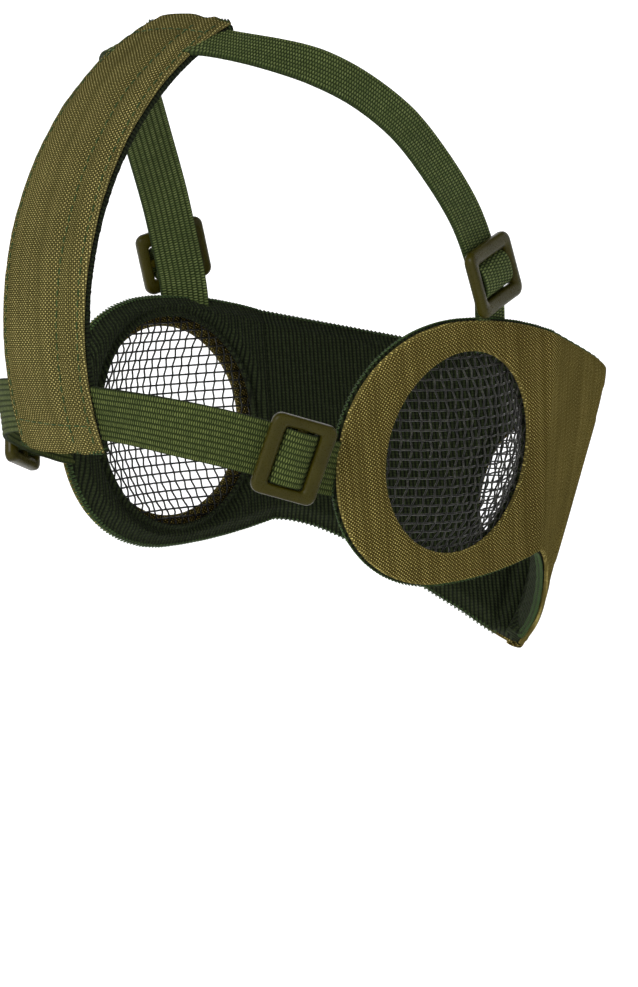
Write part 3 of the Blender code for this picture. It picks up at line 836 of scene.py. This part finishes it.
def lining_profile(along, z, distance):
    """Depths of the lining: it is drawn up to the cover at its free edge, and ribbed inside."""
    roll = edge_roll(distance, 0.0018)
    ribs = np.cos(2 * math.pi * along / LINING_RIB_PITCH) * smoothstep(distance / 0.002)
    from_window = np.hypot(along - BEND_Y, z) - LINING_WINDOW_RADIUS
    vent_along = surface.keel_along(z) - VENT_FROM_KEEL
    from_vent = np.hypot((along - vent_along) / VENT_HALF_WIDTH, (z - VENT_Z) / VENT_HALF_HEIGHT)
    from_keel = surface.keel_along(z) - LINING_KEEL_GAP - along
    free = smoothstep((0.0060 - distance) / 0.0050) * smoothstep(from_window / 0.003)
    free = free * smoothstep((from_vent - 1.1) * 4) * smoothstep(from_keel / 0.004)
    middle = (LINING_TOP + LINING_BOTTOM) / 2
    half = (LINING_BOTTOM - LINING_TOP) / 2
    middle = middle + (SEWN_DEPTH - middle) * free
    half = half + (SEWN_HALF - half) * free
    return middle - half * roll, middle + (half + LINING_RIB * ribs) * roll


def add_cover(label, side):
    """Woven cover of one half, over ear and cheek in one piece."""
    _, loops = panel_loops(COVER_KEEL_GAP, 0.0, WINDOW_RADIUS, 0.0)
    cover, area, size = panel_sheet(label + "_cover", side, loops, COVER_STEP, cover_profile,
                                    COVER_CLOTH)
    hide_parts(label + "_ear_cover", label + "_cheek_cover")
    across_crease(cover)


def serged_edge(shape, line, side):
    """Overlock thread wound round the sewn edge of a lining, given as (along, z) points."""
    line = even([tuple(p) for p in line], THREAD_STEP, False)
    tangent = unit(np.gradient(line, axis=0))
    sideways = np.stack((-tangent[:, 1], tangent[:, 0]), axis=1)
    turn = 2 * math.pi * np.arange(len(line)) * THREAD_STEP / SERGE_PITCH
    reach = SERGE_WIDTH * (1 - np.cos(turn + math.pi / 2)) / 2
    line = line + sideways * (reach - 0.0003)[:, None]
    depths = SEWN_DEPTH + (SEWN_HALF + 0.0001) * np.sin(turn)
    path, normals = surface.place(line[:, 0], line[:, 1], depths, side)
    shape.tube(path, normals + TUBE_TILT, THREAD_RADIUS, 5)


def add_lining(label, side):
    """Padded knit lining of one half, and the overlock thread round its free edge."""
    free, loops = panel_loops(LINING_KEEL_GAP, 0.0006, LINING_WINDOW_RADIUS, 0.0008)
    lining, _, _ = panel_sheet(label + "_lining", side, loops, LINING_STEP, lining_profile,
                               KNIT)
    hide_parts(label + "_ear_lining", label + "_cheek_lining")
    across_crease(lining)
    shape = Shape()
    serged_edge(shape, free, side)
    serge = shape.build(label + "_serged_edge", SERGE_THREAD)
    across_crease(serge)


def mitred(along, z, depth, side):
    """Point at a depth below the surface, stopped where it would cross the middle plane."""
    point, normal = surface.place(along, z, depth, side)
    point, normal = point[0], normal[0]
    if point[0] * side < 0:
        point = point + normal * (abs(point[0]) / max(0.2, abs(normal[0])))
        point[0] = 0.0
    return point


def add_keel_lining():
    """Soft strip of lining inside the keel, which closes the gap between the two halves."""
    reach = LINING_KEEL_GAP + 0.0012
    offsets = np.concatenate((-np.linspace(reach, 0.0, 15), np.linspace(0.0, reach, 15)[1:]))
    rings, cloth = [], []
    for share in np.linspace(0.0, 1.0, 110):
        ring, row = [], []
        for under, order in ((False, offsets), (True, offsets[::-1])):
            for offset in order:
                side = 1 if offset > 0 else -1
                inset = smoothstep((reach - abs(offset)) / 0.0016)
                top = 0.0017 + (LINING_TOP - 0.0013) * (1 - inset)
                bottom = LINING_BOTTOM - 0.0010 * (1 - inset) + 0.0003 * inset
                along, z = beside_keel(share, abs(offset), -0.0006)
                ring.append(mitred(along, z, bottom if under else top, side))
                row.append((along, z, INNER_FACE))
        rings.append(ring)
        cloth.append(row)
    shape = Shape()
    shape.rings(np.array(rings), np.array(cloth))
    strip = shape.build("keel_lining", KNIT)
    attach(strip, "right_cheek")
    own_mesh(strip)


def dome_rise(radius):
    """Outward swell of the wire over the ear window."""
    return DOME_RISE * np.clip(1 - (radius / DOME_RADIUS) ** DOME_POWER, 0, 1)


def weave(shape, half_width, half_height, pitch, radius, crimp, lay):
    """Woven wires over an oval, each over one and under the next; lay puts them on the panel."""
    spans = ((half_height, half_width), (half_width, half_height))
    for direction, (reach, span) in enumerate(spans):
        for number in range(-int(reach / pitch), int(reach / pitch) + 1):
            half = span * math.sqrt(max(0.0, 1 - (number * pitch / reach) ** 2))
            if half < pitch:
                continue
            travel = np.linspace(-half, half, max(12, round(2 * half / (pitch / 7))))
            bend = crimp * np.cos(math.pi * (travel / pitch + number + direction))
            fixed = np.full_like(travel, number * pitch)
            across, rise = (travel, fixed) if direction == 0 else (fixed, travel)
            path, normals = lay(across, rise, bend)
            shape.tube(path, normals, radius, 6)


def add_window_wire(label, side):
    """Woven wire dome of the ear window."""
    def lay(across, z, bend):
        depth = WIRE_DEPTH - dome_rise(np.hypot(across, z)) - bend
        return surface.place(BEND_Y + across, z, depth, side)

    shape = Shape()
    weave(shape, FLANGE_RADIUS, FLANGE_RADIUS, WIRE_PITCH, WIRE_RADIUS, WIRE_RADIUS * 1.05, lay)
    wire = shape.build(label + "_window_wire", WIRE)
    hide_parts(label + "_ear_mesh")
    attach(wire, label + "_ear")


def add_vent_wire(label, side):
    """Flat woven wire behind the mouth vent."""
    def lay(across, rise, bend):
        z = VENT_Z + rise
        along = surface.keel_along(z) - VENT_FROM_KEEL + across
        return surface.place(along, z, WIRE_DEPTH - bend, side)

    shape = Shape()
    weave(shape, VENT_HALF_WIDTH + VENT_FLANGE, VENT_HALF_HEIGHT + VENT_FLANGE, WIRE_PITCH * 0.8,
          WIRE_RADIUS * 0.85, WIRE_RADIUS, lay)
    wire = shape.build(label + "_vent_wire", WIRE)
    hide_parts(label + "_cheek_mesh")
    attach(wire, label + "_cheek")


# ---------------------------------------------------------------- stitches

def stitch_row(shape, path, normals, length=0.0027, gap=0.0008, rise=0.00022, sink=0.00045):
    """Row of separate stitches along a path on a surface."""
    lengths = lengths_along(path)
    start = gap / 2
    share = np.linspace(0.0, 1.0, 7)
    bow = rise - (rise + sink) * np.abs(2 * share - 1) ** 4
    while start + length < lengths[-1]:
        at = start + length * share
        points, upward = (np.stack([np.interp(at, lengths, table[:, k]) for k in range(3)], axis=1)
                          for table in (path, normals))
        shape.tube(points + upward * bow[:, None], upward, THREAD_RADIUS, 6)
        start += length + gap


def add_centre_tape():
    """Folded tape sewn down the keel over the edges of the two covers."""
    shares = np.linspace(0.0, 1.0, 96)
    offsets = np.linspace(-TAPE_HALF, TAPE_HALF, 25)
    rings = np.empty((len(shares), 2 * len(offsets), 3))
    cloth = np.zeros(rings.shape)
    seams = {-1: ([], []), 1: ([], [])}
    for row, share in enumerate(shares):
        for column, offset in enumerate(offsets):
            side = 1 if offset >= 0 else -1
            from_keel = math.hypot(offset, TAPE_BLUNT) - TAPE_BLUNT * 0.35
            along, z = beside_keel(share, from_keel, 0.0003)
            edge = float(smoothstep((TAPE_HALF - abs(offset)) / 0.0012))
            wave = 0.00010 * noise.noise(Vector((offset * 200, 0.0, z * 160)))
            points, normals = surface.place(along, z, -0.00030 - 0.00045 * edge - wave, side)
            point = points[0]
            point[0] *= min(1.0, abs(offset) / TAPE_BLUNT)
            rings[row, column] = point
            rings[row, -1 - column] = point - normals[0] * (TAPE_THICKNESS * (0.35 + 0.65 * edge))
            cloth[row, [column, -1 - column]] = (z, offset, TAPE_HALF - abs(offset))
        for side, (path, upward) in seams.items():
            along, z = beside_keel(share, TAPE_SEAM, -0.0008)
            points, normals = surface.place(along, z, -0.00068, side)
            path.append(points[0])
            upward.append(normals[0])
    shape = Shape()
    shape.rings(rings, cloth)
    tape = shape.build("centre_tape", COVER_CLOTH)
    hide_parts("centre_seam")
    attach(tape, "right_cheek")
    stitches = Shape()
    for path, upward in seams.values():
        stitch_row(stitches, np.array(path), np.array(upward))
    sewn = stitches.build("centre_tape_stitches", THREAD)
    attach(sewn, "right_cheek")


# ---------------------------------------------------------------- straps and tri-glides

def strap_line(level, side, extended):
    """Dense points of a strap's middle line; the extended line runs on into panel and pad."""
    spec = STRAPS[level]
    knots = [Vector((side * x, y, z)) for x, y, z in spec["route"]]
    if extended:
        tuck, _ = surface.place(spec["tuck"][0], spec["tuck"][1], 0.0025, side)
        knots.insert(0, Vector(tuck[0]))
        knots.append(knots[-1] - Vector((side * STRAP_HIDDEN, 0.0, 0.0)))
    knots = [2 * knots[0] - knots[1]] + knots + [2 * knots[-1] - knots[-2]]
    dense = []
    for a, b, c, d in zip(knots, knots[1:], knots[2:], knots[3:]):
        for t in np.arange(24) / 24:
            dense.append(0.5 * (2 * b + (c - a) * t + (2 * a - 5 * b + 4 * c - d) * t * t
                                + (3 * b - a - 3 * c + d) * t ** 3))
    dense.append(knots[-2])
    return np.array([tuple(point) for point in dense])


def strap_stations(level, side, extended, spacing):
    """Points of a strap with their tangent, across and outward directions."""
    points = even([tuple(p) for p in strap_line(level, side, extended)], spacing, False)
    tangent = unit(np.gradient(points, axis=0))
    outward = points - np.array(STRAPS[level]["wraps_round"])
    if extended:
        pad_up = points[-1] - np.array(PAD_CENTRE)
        pad_up[0] = 0.0
        pad_up /= np.linalg.norm(pad_up)
        from_end = np.linalg.norm(points - points[-1], axis=1) - STRAP_HIDDEN
        turn = smoothstep(1 - from_end / STRAP_TWIST)[:, None]
        outward = unit(outward) * (1 - turn) + pad_up * turn
    outward = unit(outward - tangent * np.sum(outward * tangent, axis=1)[:, None])
    return points, tangent, np.cross(outward, tangent), outward


def webbing_section(ribs, rib_height, thickness):
    """Closed section of ribbed webbing, as (across, up) points."""
    across = np.linspace(-WEB_WIDTH / 2, WEB_WIDTH / 2, ribs * POINTS_PER_RIB + 1)
    pitch = WEB_WIDTH / ribs
    crest = np.abs(np.sin(math.pi * (across + WEB_WIDTH / 2) / pitch)) ** 0.6
    up = thickness / 2 - rib_height * (1 - crest)
    return np.concatenate((np.stack((across, up), axis=1), np.stack((across, -up), axis=1)[::-1]))


def sweep_webbing(shape, points, across, outward, section):
    """Webbing with a section along stations."""
    rings = (points[:, None] + section[None, :, 0:1] * across[:, None]
             + section[None, :, 1:2] * outward[:, None])
    cloth = np.zeros(rings.shape)
    cloth[:, :, 0] = lengths_along(points)[:, None]
    cloth[:, :, 1] = section[None, :, 0] + WEB_WIDTH / 2
    shape.rings(rings, cloth)


def add_strap(label, side, level):
    """Elastic strap from the ear panel to the pad, which stretches past the tri-glide's travel."""
    spec = STRAPS[level]
    points, _, across, outward = strap_stations(level, side, True, STRAP_STEP)
    left = np.linalg.norm(points - points[-1], axis=1)
    waves = np.array([noise.noise(Vector(tuple(p * 45))) for p in points])
    points = points + outward * (0.00035 * waves * smoothstep(left / 0.03))[:, None]
    shape = Shape()
    section = webbing_section(spec["ribs"], spec["rib_height"], WEB_THICKNESS)
    sweep_webbing(shape, points, across, outward, section)
    strap = shape.build(f"{label}_{level}_webbing", WEBBING[level])
    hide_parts(f"{label}_{level}_strap")
    route = strap_stations(level, side, False, STRAP_STEP)[0]
    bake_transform(strap)


def glide_matrix(level, side):
    """Place of a tri-glide, with X along the strap, Y across it and Z outward."""
    points, tangent, across, outward = strap_stations(level, side, False, STRAP_STEP / 2)
    index = round(STRAPS[level]["glide_at"] / (STRAP_STEP / 2))
    axes = np.stack((tangent[index], across[index], outward[index]), axis=1)
    matrix = Matrix(axes.tolist()).to_4x4()
    matrix.translation = Vector(points[index] + outward[index] * (WEB_THICKNESS / 2 + GAP))
    return matrix


def rounded_rectangle(half_x, half_y, radius, segments=8):
    """Corner points of a rounded rectangle, in order."""
    points = []
    for sign_x, sign_y, first in ((1, 1, 0.0), (-1, 1, 0.5), (-1, -1, 1.0), (1, -1, 1.5)):
        for step in range(segments + 1):
            angle = math.pi * (first + 0.5 * step / segments)
            points.append((sign_x * (half_x - radius) + radius * math.cos(angle),
                           sign_y * (half_y - radius) + radius * math.sin(angle)))
    return points


def glide_frame():
    """Moulded frame as rings round its section, with full rounds and a slight saddle."""
    opening = np.array((GLIDE_LENGTH / 2 - GLIDE_END_BAR, GLIDE_WIDTH / 2 - GLIDE_RAIL))
    outer = even(rounded_rectangle(GLIDE_LENGTH / 2, GLIDE_WIDTH / 2, 0.0032), 0.0006, True)
    inner = np.array(even(rounded_rectangle(opening[0], opening[1], 0.0008), 0.0001, True))
    scale = np.array((opening[0] / (GLIDE_LENGTH / 2), opening[1] / (GLIDE_WIDTH / 2)))
    rings = []
    for start in outer:
        end = inner[np.argmin(np.linalg.norm(inner - start * scale, axis=1))]
        middle, reach = (start + end) / 2, (start - end) / 2
        ring = []
        for turn in full_turn(20):
            tall = squared_off(math.sin(turn), 0.70)
            place = middle + reach * squared_off(math.cos(turn), 0.72)
            saddle = 0.0005 * (2 * place[1] / GLIDE_WIDTH) ** 2 - 0.0003
            height = GLIDE_HEIGHT / 2 * (1 + tall) + (saddle if tall > 0 else 0.0)
            ring.append((place[0], place[1], height))
        rings.append(ring)
    rings.append(rings[0])
    return np.array(rings)


def glide_bar():
    """Round-edged centre bar under the webbing."""
    half = GLIDE_WIDTH / 2 - GLIDE_RAIL / 2
    rings = []
    for y in np.linspace(-half, half, 24):
        ring = []
        for turn in full_turn(16):
            tall = squared_off(math.sin(turn), 0.6)
            ring.append((GLIDE_BAR_HALF * squared_off(math.cos(turn), 0.6), y,
                         GAP + GLIDE_BAR_HEIGHT / 2 * (1 + tall)))
        rings.append(ring)
    return np.array(rings)


def moved(points, matrix):
    """Points through a matrix."""
    table = np.array(matrix)
    return points @ table[:3, :3].T + table[:3, 3]


def add_glide(label, side, level):
    """Tri-glide and the webbing that goes up, over its centre bar and down again."""
    spec = STRAPS[level]
    body = f"{label}_{level}_triglide"
    matrix = glide_matrix(level, side)
    shape = Shape()
    for rings in (glide_frame(), glide_bar()):
        shape.rings(moved(rings, matrix), np.zeros(rings.shape), caps=False)
    glide = shape.build(body + "_buckle", PLASTIC)
    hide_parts(body)
    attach(glide, body)
    turns = np.linspace(-0.18 * math.pi, 1.18 * math.pi, 40)
    flat = np.zeros(len(turns))
    reach = GLIDE_LENGTH / 2 - GLIDE_END_BAR - 0.0008
    wide = np.sign(np.cos(turns)) * np.abs(np.cos(turns)) ** 0.75
    rise = GAP + (GLIDE_BAR_HEIGHT + LOOP_THICKNESS) * np.sin(turns)
    path = np.stack((-reach * wide, flat, rise), axis=1)
    tangent = unit(np.gradient(path, axis=0))
    up = np.stack((-tangent[:, 2], flat, tangent[:, 0]), axis=1)
    across = np.tile((0.0, 1.0, 0.0), (len(turns), 1))
    rotation = np.array(matrix)[:3, :3].T
    section = webbing_section(spec["ribs"], spec["rib_height"], LOOP_THICKNESS)
    wrap = Shape()
    sweep_webbing(wrap, moved(path, matrix), across @ rotation, up @ rotation, section)
    loop = wrap.build(f"{label}_{level}_loop", WEBBING[level])
    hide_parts(f"{label}_{level}_wrap")
    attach(loop, body)


# ---------------------------------------------------------------- rear pad

def pad_frame(angle):
    """Middle of the pad's outer face at an angle, and its up direction there."""
    up = np.array((0.0, math.cos(angle), math.sin(angle)))
    return np.array(PAD_CENTRE) + up * PAD_RADIUS, up


def on_pad(x, angle, lift):
    """Point on the pad, at a lift above the arc of its outer face."""
    middle, up = pad_frame(angle)
    return middle + np.array((x, 0.0, 0.0)) + up * lift


def pad_crown(x):
    """Fall of the pad's outer face towards its long edges."""
    return PAD_CROWN * (x / PAD_HALF_WIDTH) ** 2


def pad_stitch_lines():
    """Sewn lines of the pad, as lists of (x, angle)."""
    angles = np.linspace(PAD_START + 0.030, PAD_END - 0.030, 160)
    low = PAD_START + PAD_END_LINE / PAD_RADIUS
    high = PAD_END - PAD_END_LINE / PAD_RADIUS
    xs = np.linspace(-PAD_HALF_WIDTH + 0.003, PAD_HALF_WIDTH - 0.003, 40)
    lines = [[(x, a) for a in angles] for x in PAD_LINES]
    lines.append([(x, low) for x in xs])
    lines.append([(x, high) for x in xs])
    return lines


def pad_height(x, angle, lines):
    """Padding between the sewn lines, drawn down and gathered along each of them."""
    nearest = min(abs(x - line) for line in PAD_LINES)
    arc = min(abs(angle - end) * PAD_RADIUS for end in (lines[-2][0][1], lines[-1][0][1]))
    nearest = min(nearest, arc)
    drift = 3 * noise.noise(Vector((x * 90, angle * 6, 2.0)))
    gather = math.sin(angle * PAD_RADIUS / 0.0035 * math.pi + drift)
    soft = noise.noise(Vector((x * 60, angle * 7, 5.0)))
    return (0.0011 * (1 - hill(nearest, 0.0032)) + 0.00010 * gather * hill(nearest, 0.0028)
            + 0.00035 * soft - 0.0004)


def pad_ring(angle, lines, steps=44):
    """One ring of the pad's cover: crowned face, turned edges and flat underside."""
    arc = angle * PAD_RADIUS
    half = PAD_HALF_WIDTH + 0.00035 * noise.noise(Vector((0.0, angle * 9, 1.0)))
    placed = []
    for x in np.linspace(-half, half, steps):
        near_edge = float(smoothstep((half - abs(x)) / 0.0014))
        fall = pad_crown(x) + 0.0008 * (1 - near_edge) ** 2
        lift = pad_height(x, angle, lines) * near_edge - fall
        placed.append((x, lift, x, half - abs(x)))
    lip_top, lip_depth = -PAD_CROWN - 0.0008, PAD_COVER_DEPTH - PAD_CROWN - 0.0004
    lip = [(half - 0.0004 * share, lip_top - lip_depth * share, half + 0.002 * share, 0.0)
           for share in np.linspace(0.0, 1.0, 5)[1:]]
    placed += lip
    for x in np.linspace(half - 0.0008, -half + 0.0008, 12)[1:-1]:
        placed.append((x, -PAD_COVER_DEPTH - 0.0004, x, INNER_FACE))
    placed += [(-x, lift, -across, edge) for x, lift, across, edge in lip[::-1]]
    return ([on_pad(x, angle, lift) for x, lift, _, _ in placed],
            [(across, arc, edge) for _, _, across, edge in placed])


def swell(piece, held, pressure, cap):
    """Blow a padded piece up a little with cloth simulation, between the points that are held."""
    rest = np.empty(len(piece.data.vertices) * 3)
    piece.data.vertices.foreach_get("co", rest)
    rest = rest.reshape(-1, 3)
    group = piece.vertex_groups.new(name="held")
    group.add([int(index) for index in np.nonzero(held)[0]], 1.0, "REPLACE")
    modifier = piece.modifiers.new("swell", "CLOTH")
    settings = modifier.settings
    settings.quality = 5
    settings.use_pressure = True
    settings.uniform_pressure_force = pressure
    settings.vertex_group_mass = "held"
    settings.effector_weights.gravity = 0.0
    scene = bpy.context.scene
    for number in range(1, SWELL_FRAMES + 1):
        scene.frame_set(number)
    graph = bpy.context.evaluated_depsgraph_get()
    swollen = np.empty(len(rest) * 3)
    piece.evaluated_get(graph).data.vertices.foreach_get("co", swollen)
    piece.modifiers.remove(modifier)
    piece.vertex_groups.remove(group)
    scene.frame_set(1)
    move = swollen.reshape(-1, 3) - rest
    length = np.linalg.norm(move, axis=1)[:, None]
    move *= np.minimum(1.0, cap / np.maximum(length, 1e-9))
    piece.data.vertices.foreach_set("co", (rest + move).ravel())
    piece.data.update()


def add_pad_cover(lines):
    """Woven cover of the pad, swelled between its sewn lines."""
    angles = np.linspace(PAD_START, PAD_END, 150)
    rings, cloth = zip(*(pad_ring(angle, lines) for angle in angles))
    shape = Shape()
    shape.rings(np.array(rings), np.array(cloth))
    cover = shape.build("pad_cover_cloth", PAD_CLOTH)
    across, arc, edge = shape.cloth[0].T
    from_line = np.min(np.abs(across[:, None] - np.array(PAD_LINES)), axis=1)
    from_end = np.minimum(arc - (PAD_START * PAD_RADIUS + PAD_END_LINE),
                          (PAD_END * PAD_RADIUS - PAD_END_LINE) - arc)
    held = (from_line < 0.0007) | (from_end < 0.0) | (edge < 0.0012) | (edge == INNER_FACE)
    swell(cover, held, SWELL_PRESSURE, SWELL_CAP)
    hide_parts("pad_cover", "pad_foam")
    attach(cover, "harness")


def add_pad_lining():
    """Dark pile lining on the pad's inner face."""
    shape = Shape()
    rings, cloth = [], []
    half = PAD_HALF_WIDTH - 0.0002
    depth = (PAD_COVER_DEPTH + PAD_THICKNESS) / 2
    for angle in np.linspace(PAD_START - 0.004, PAD_END + 0.004, 170):
        ring, row = [], []
        for turn in full_turn(72):
            tall = squared_off(math.sin(turn), 0.5)
            rough = noise.noise(Vector((turn * 9, angle * 160, 3.0))) * 0.00035
            x = (half + rough) * squared_off(math.cos(turn), 0.22)
            lift = -depth + tall * ((PAD_THICKNESS - PAD_COVER_DEPTH) / 2 + rough)
            ring.append(on_pad(x, angle, lift - 0.0002))
            row.append((angle * PAD_RADIUS, x + 0.01 * tall, INNER_FACE))
        rings.append(ring)
        cloth.append(row)
    shape.rings(np.array(rings), np.array(cloth))
    lining = shape.build("pad_pile_lining", KNIT)
    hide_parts("pad_lining")
    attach(lining, "harness")


def add_pad_sewing(lines):
    """Sewn lines of the pad, and the overlock thread round its two ends."""
    sewing = Shape()
    for line in lines:
        path = [on_pad(x, angle, pad_height(x, angle, lines) - pad_crown(x)) for x, angle in line]
        normals = [pad_frame(angle)[1] for _, angle in line]
        stitch_row(sewing, np.array(path), np.array(normals))
    for angle in (PAD_START, PAD_END):
        path, normals = [], []
        _, up = pad_frame(angle)
        outward = np.array((0.0, -up[2], up[1])) * (1 if angle > 0 else -1)
        for x in np.arange(-PAD_HALF_WIDTH, PAD_HALF_WIDTH, 0.00022):
            turn = 2 * math.pi * x / 0.0015
            depth = 0.0024 + 0.0020 * math.sin(turn) + 0.5 * pad_crown(x)
            path.append(on_pad(x, angle, -depth) + outward * (0.0008 * math.cos(turn) - 0.0004))
            normals.append(up)
        sewing.tube(np.array(path), np.array(normals) + TUBE_TILT, THREAD_RADIUS, 5)
    sewn = sewing.build("pad_sewing", THREAD)
    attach(sewn, "harness")


def add_pad():
    """Padded strap at the back of the head."""
    lines = pad_stitch_lines()
    add_pad_cover(lines)
    add_pad_lining()
    add_pad_sewing(lines)


# ---------------------------------------------------------------- studio

def add_floor():
    """Pale seamless floor that curves up far behind the mask."""
    graph = Graph("studio_paper", Specular_IOR_Level=0.1, Emission_Color=(1.0, 1.0, 1.0, 1.0),
                  Emission_Strength=FLOOR_GLOW)
    grain = graph.noise(graph.place(), 6.0, 3.0)
    colour = graph.mix(grain, linear(249, 249, 249), linear(252, 252, 252))
    paper = graph.finish(colour, graph.range(grain, 0.0, 1.0, 0.85, 0.95), grain, 0.0001, 0.1)
    turns = full_turn(64)
    rings = np.array([[(radius * math.cos(t), radius * math.sin(t), z + FLOOR_Z) for t in turns]
                      for radius, z in FLOOR_RINGS])
    shape = Shape()
    shape.rings(rings, np.zeros(rings.shape), caps=False)
    mesh = bpy.data.meshes.new("floor")
    mesh.from_pydata(np.concatenate(shape.points).tolist(), [], shape.faces)
    mesh.shade_smooth()
    mesh.materials.append(paper)
    floor = bpy.data.objects.new("floor", mesh)
    bpy.context.scene.collection.objects.link(floor)


def add_light(name, place, size, power):
    """Soft square light that faces the mask."""
    data = bpy.data.lights.new(name, "AREA")
    data.size = size
    data.energy = power
    light = bpy.data.objects.new(name, data)
    light.location = place
    light.rotation_euler = (HEAD_CENTRE - Vector(place)).to_track_quat("-Z", "Y").to_euler()
    bpy.context.scene.collection.objects.link(light)


def add_camera():
    """Camera behind the wearer's right shoulder."""
    back = Vector((-math.sin(CAMERA_BEHIND) * math.cos(CAMERA_RISE),
                   math.cos(CAMERA_BEHIND) * math.cos(CAMERA_RISE), math.sin(CAMERA_RISE)))
    right = Vector((0.0, 0.0, 1.0)).cross(back).normalized()
    up = back.cross(right)
    data = bpy.data.cameras.new("camera")
    data.sensor_fit = "VERTICAL"
    data.sensor_height = CAMERA_SENSOR
    data.lens = CAMERA_LENS
    camera = bpy.data.objects.new("camera", data)
    camera.location = back * CAMERA_DISTANCE
    aim = right * AIM_RIGHT - up * AIM_DOWN
    camera.rotation_euler = (aim - camera.location).to_track_quat("-Z", "Y").to_euler()
    bpy.context.scene.collection.objects.link(camera)
    bpy.context.scene.camera = camera


def add_studio():
    """Floor, camera, soft lights and a white surround."""
    add_floor()
    add_camera()
    for light in LIGHTS:
        add_light(*light)
    world = bpy.data.worlds.new("surround")
    world.use_nodes = True
    background = world.node_tree.nodes["Background"]
    background.inputs["Color"].default_value = (1.0, 1.0, 1.0, 1.0)
    background.inputs["Strength"].default_value = SURROUND_STRENGTH
    scene = bpy.context.scene
    scene.world = world
    scene.view_settings.view_transform = "Standard"


def main():
    """Add every piece, then the studio."""
    for label, side in SIDES:
        add_cover(label, side)
        add_lining(label, side)
        add_window_wire(label, side)
        add_vent_wire(label, side)
        for level in STRAPS:
            add_strap(label, side, level)
            add_glide(label, side, level)
    add_centre_tape()
    add_keel_lining()
    add_pad()
    add_studio()


main()
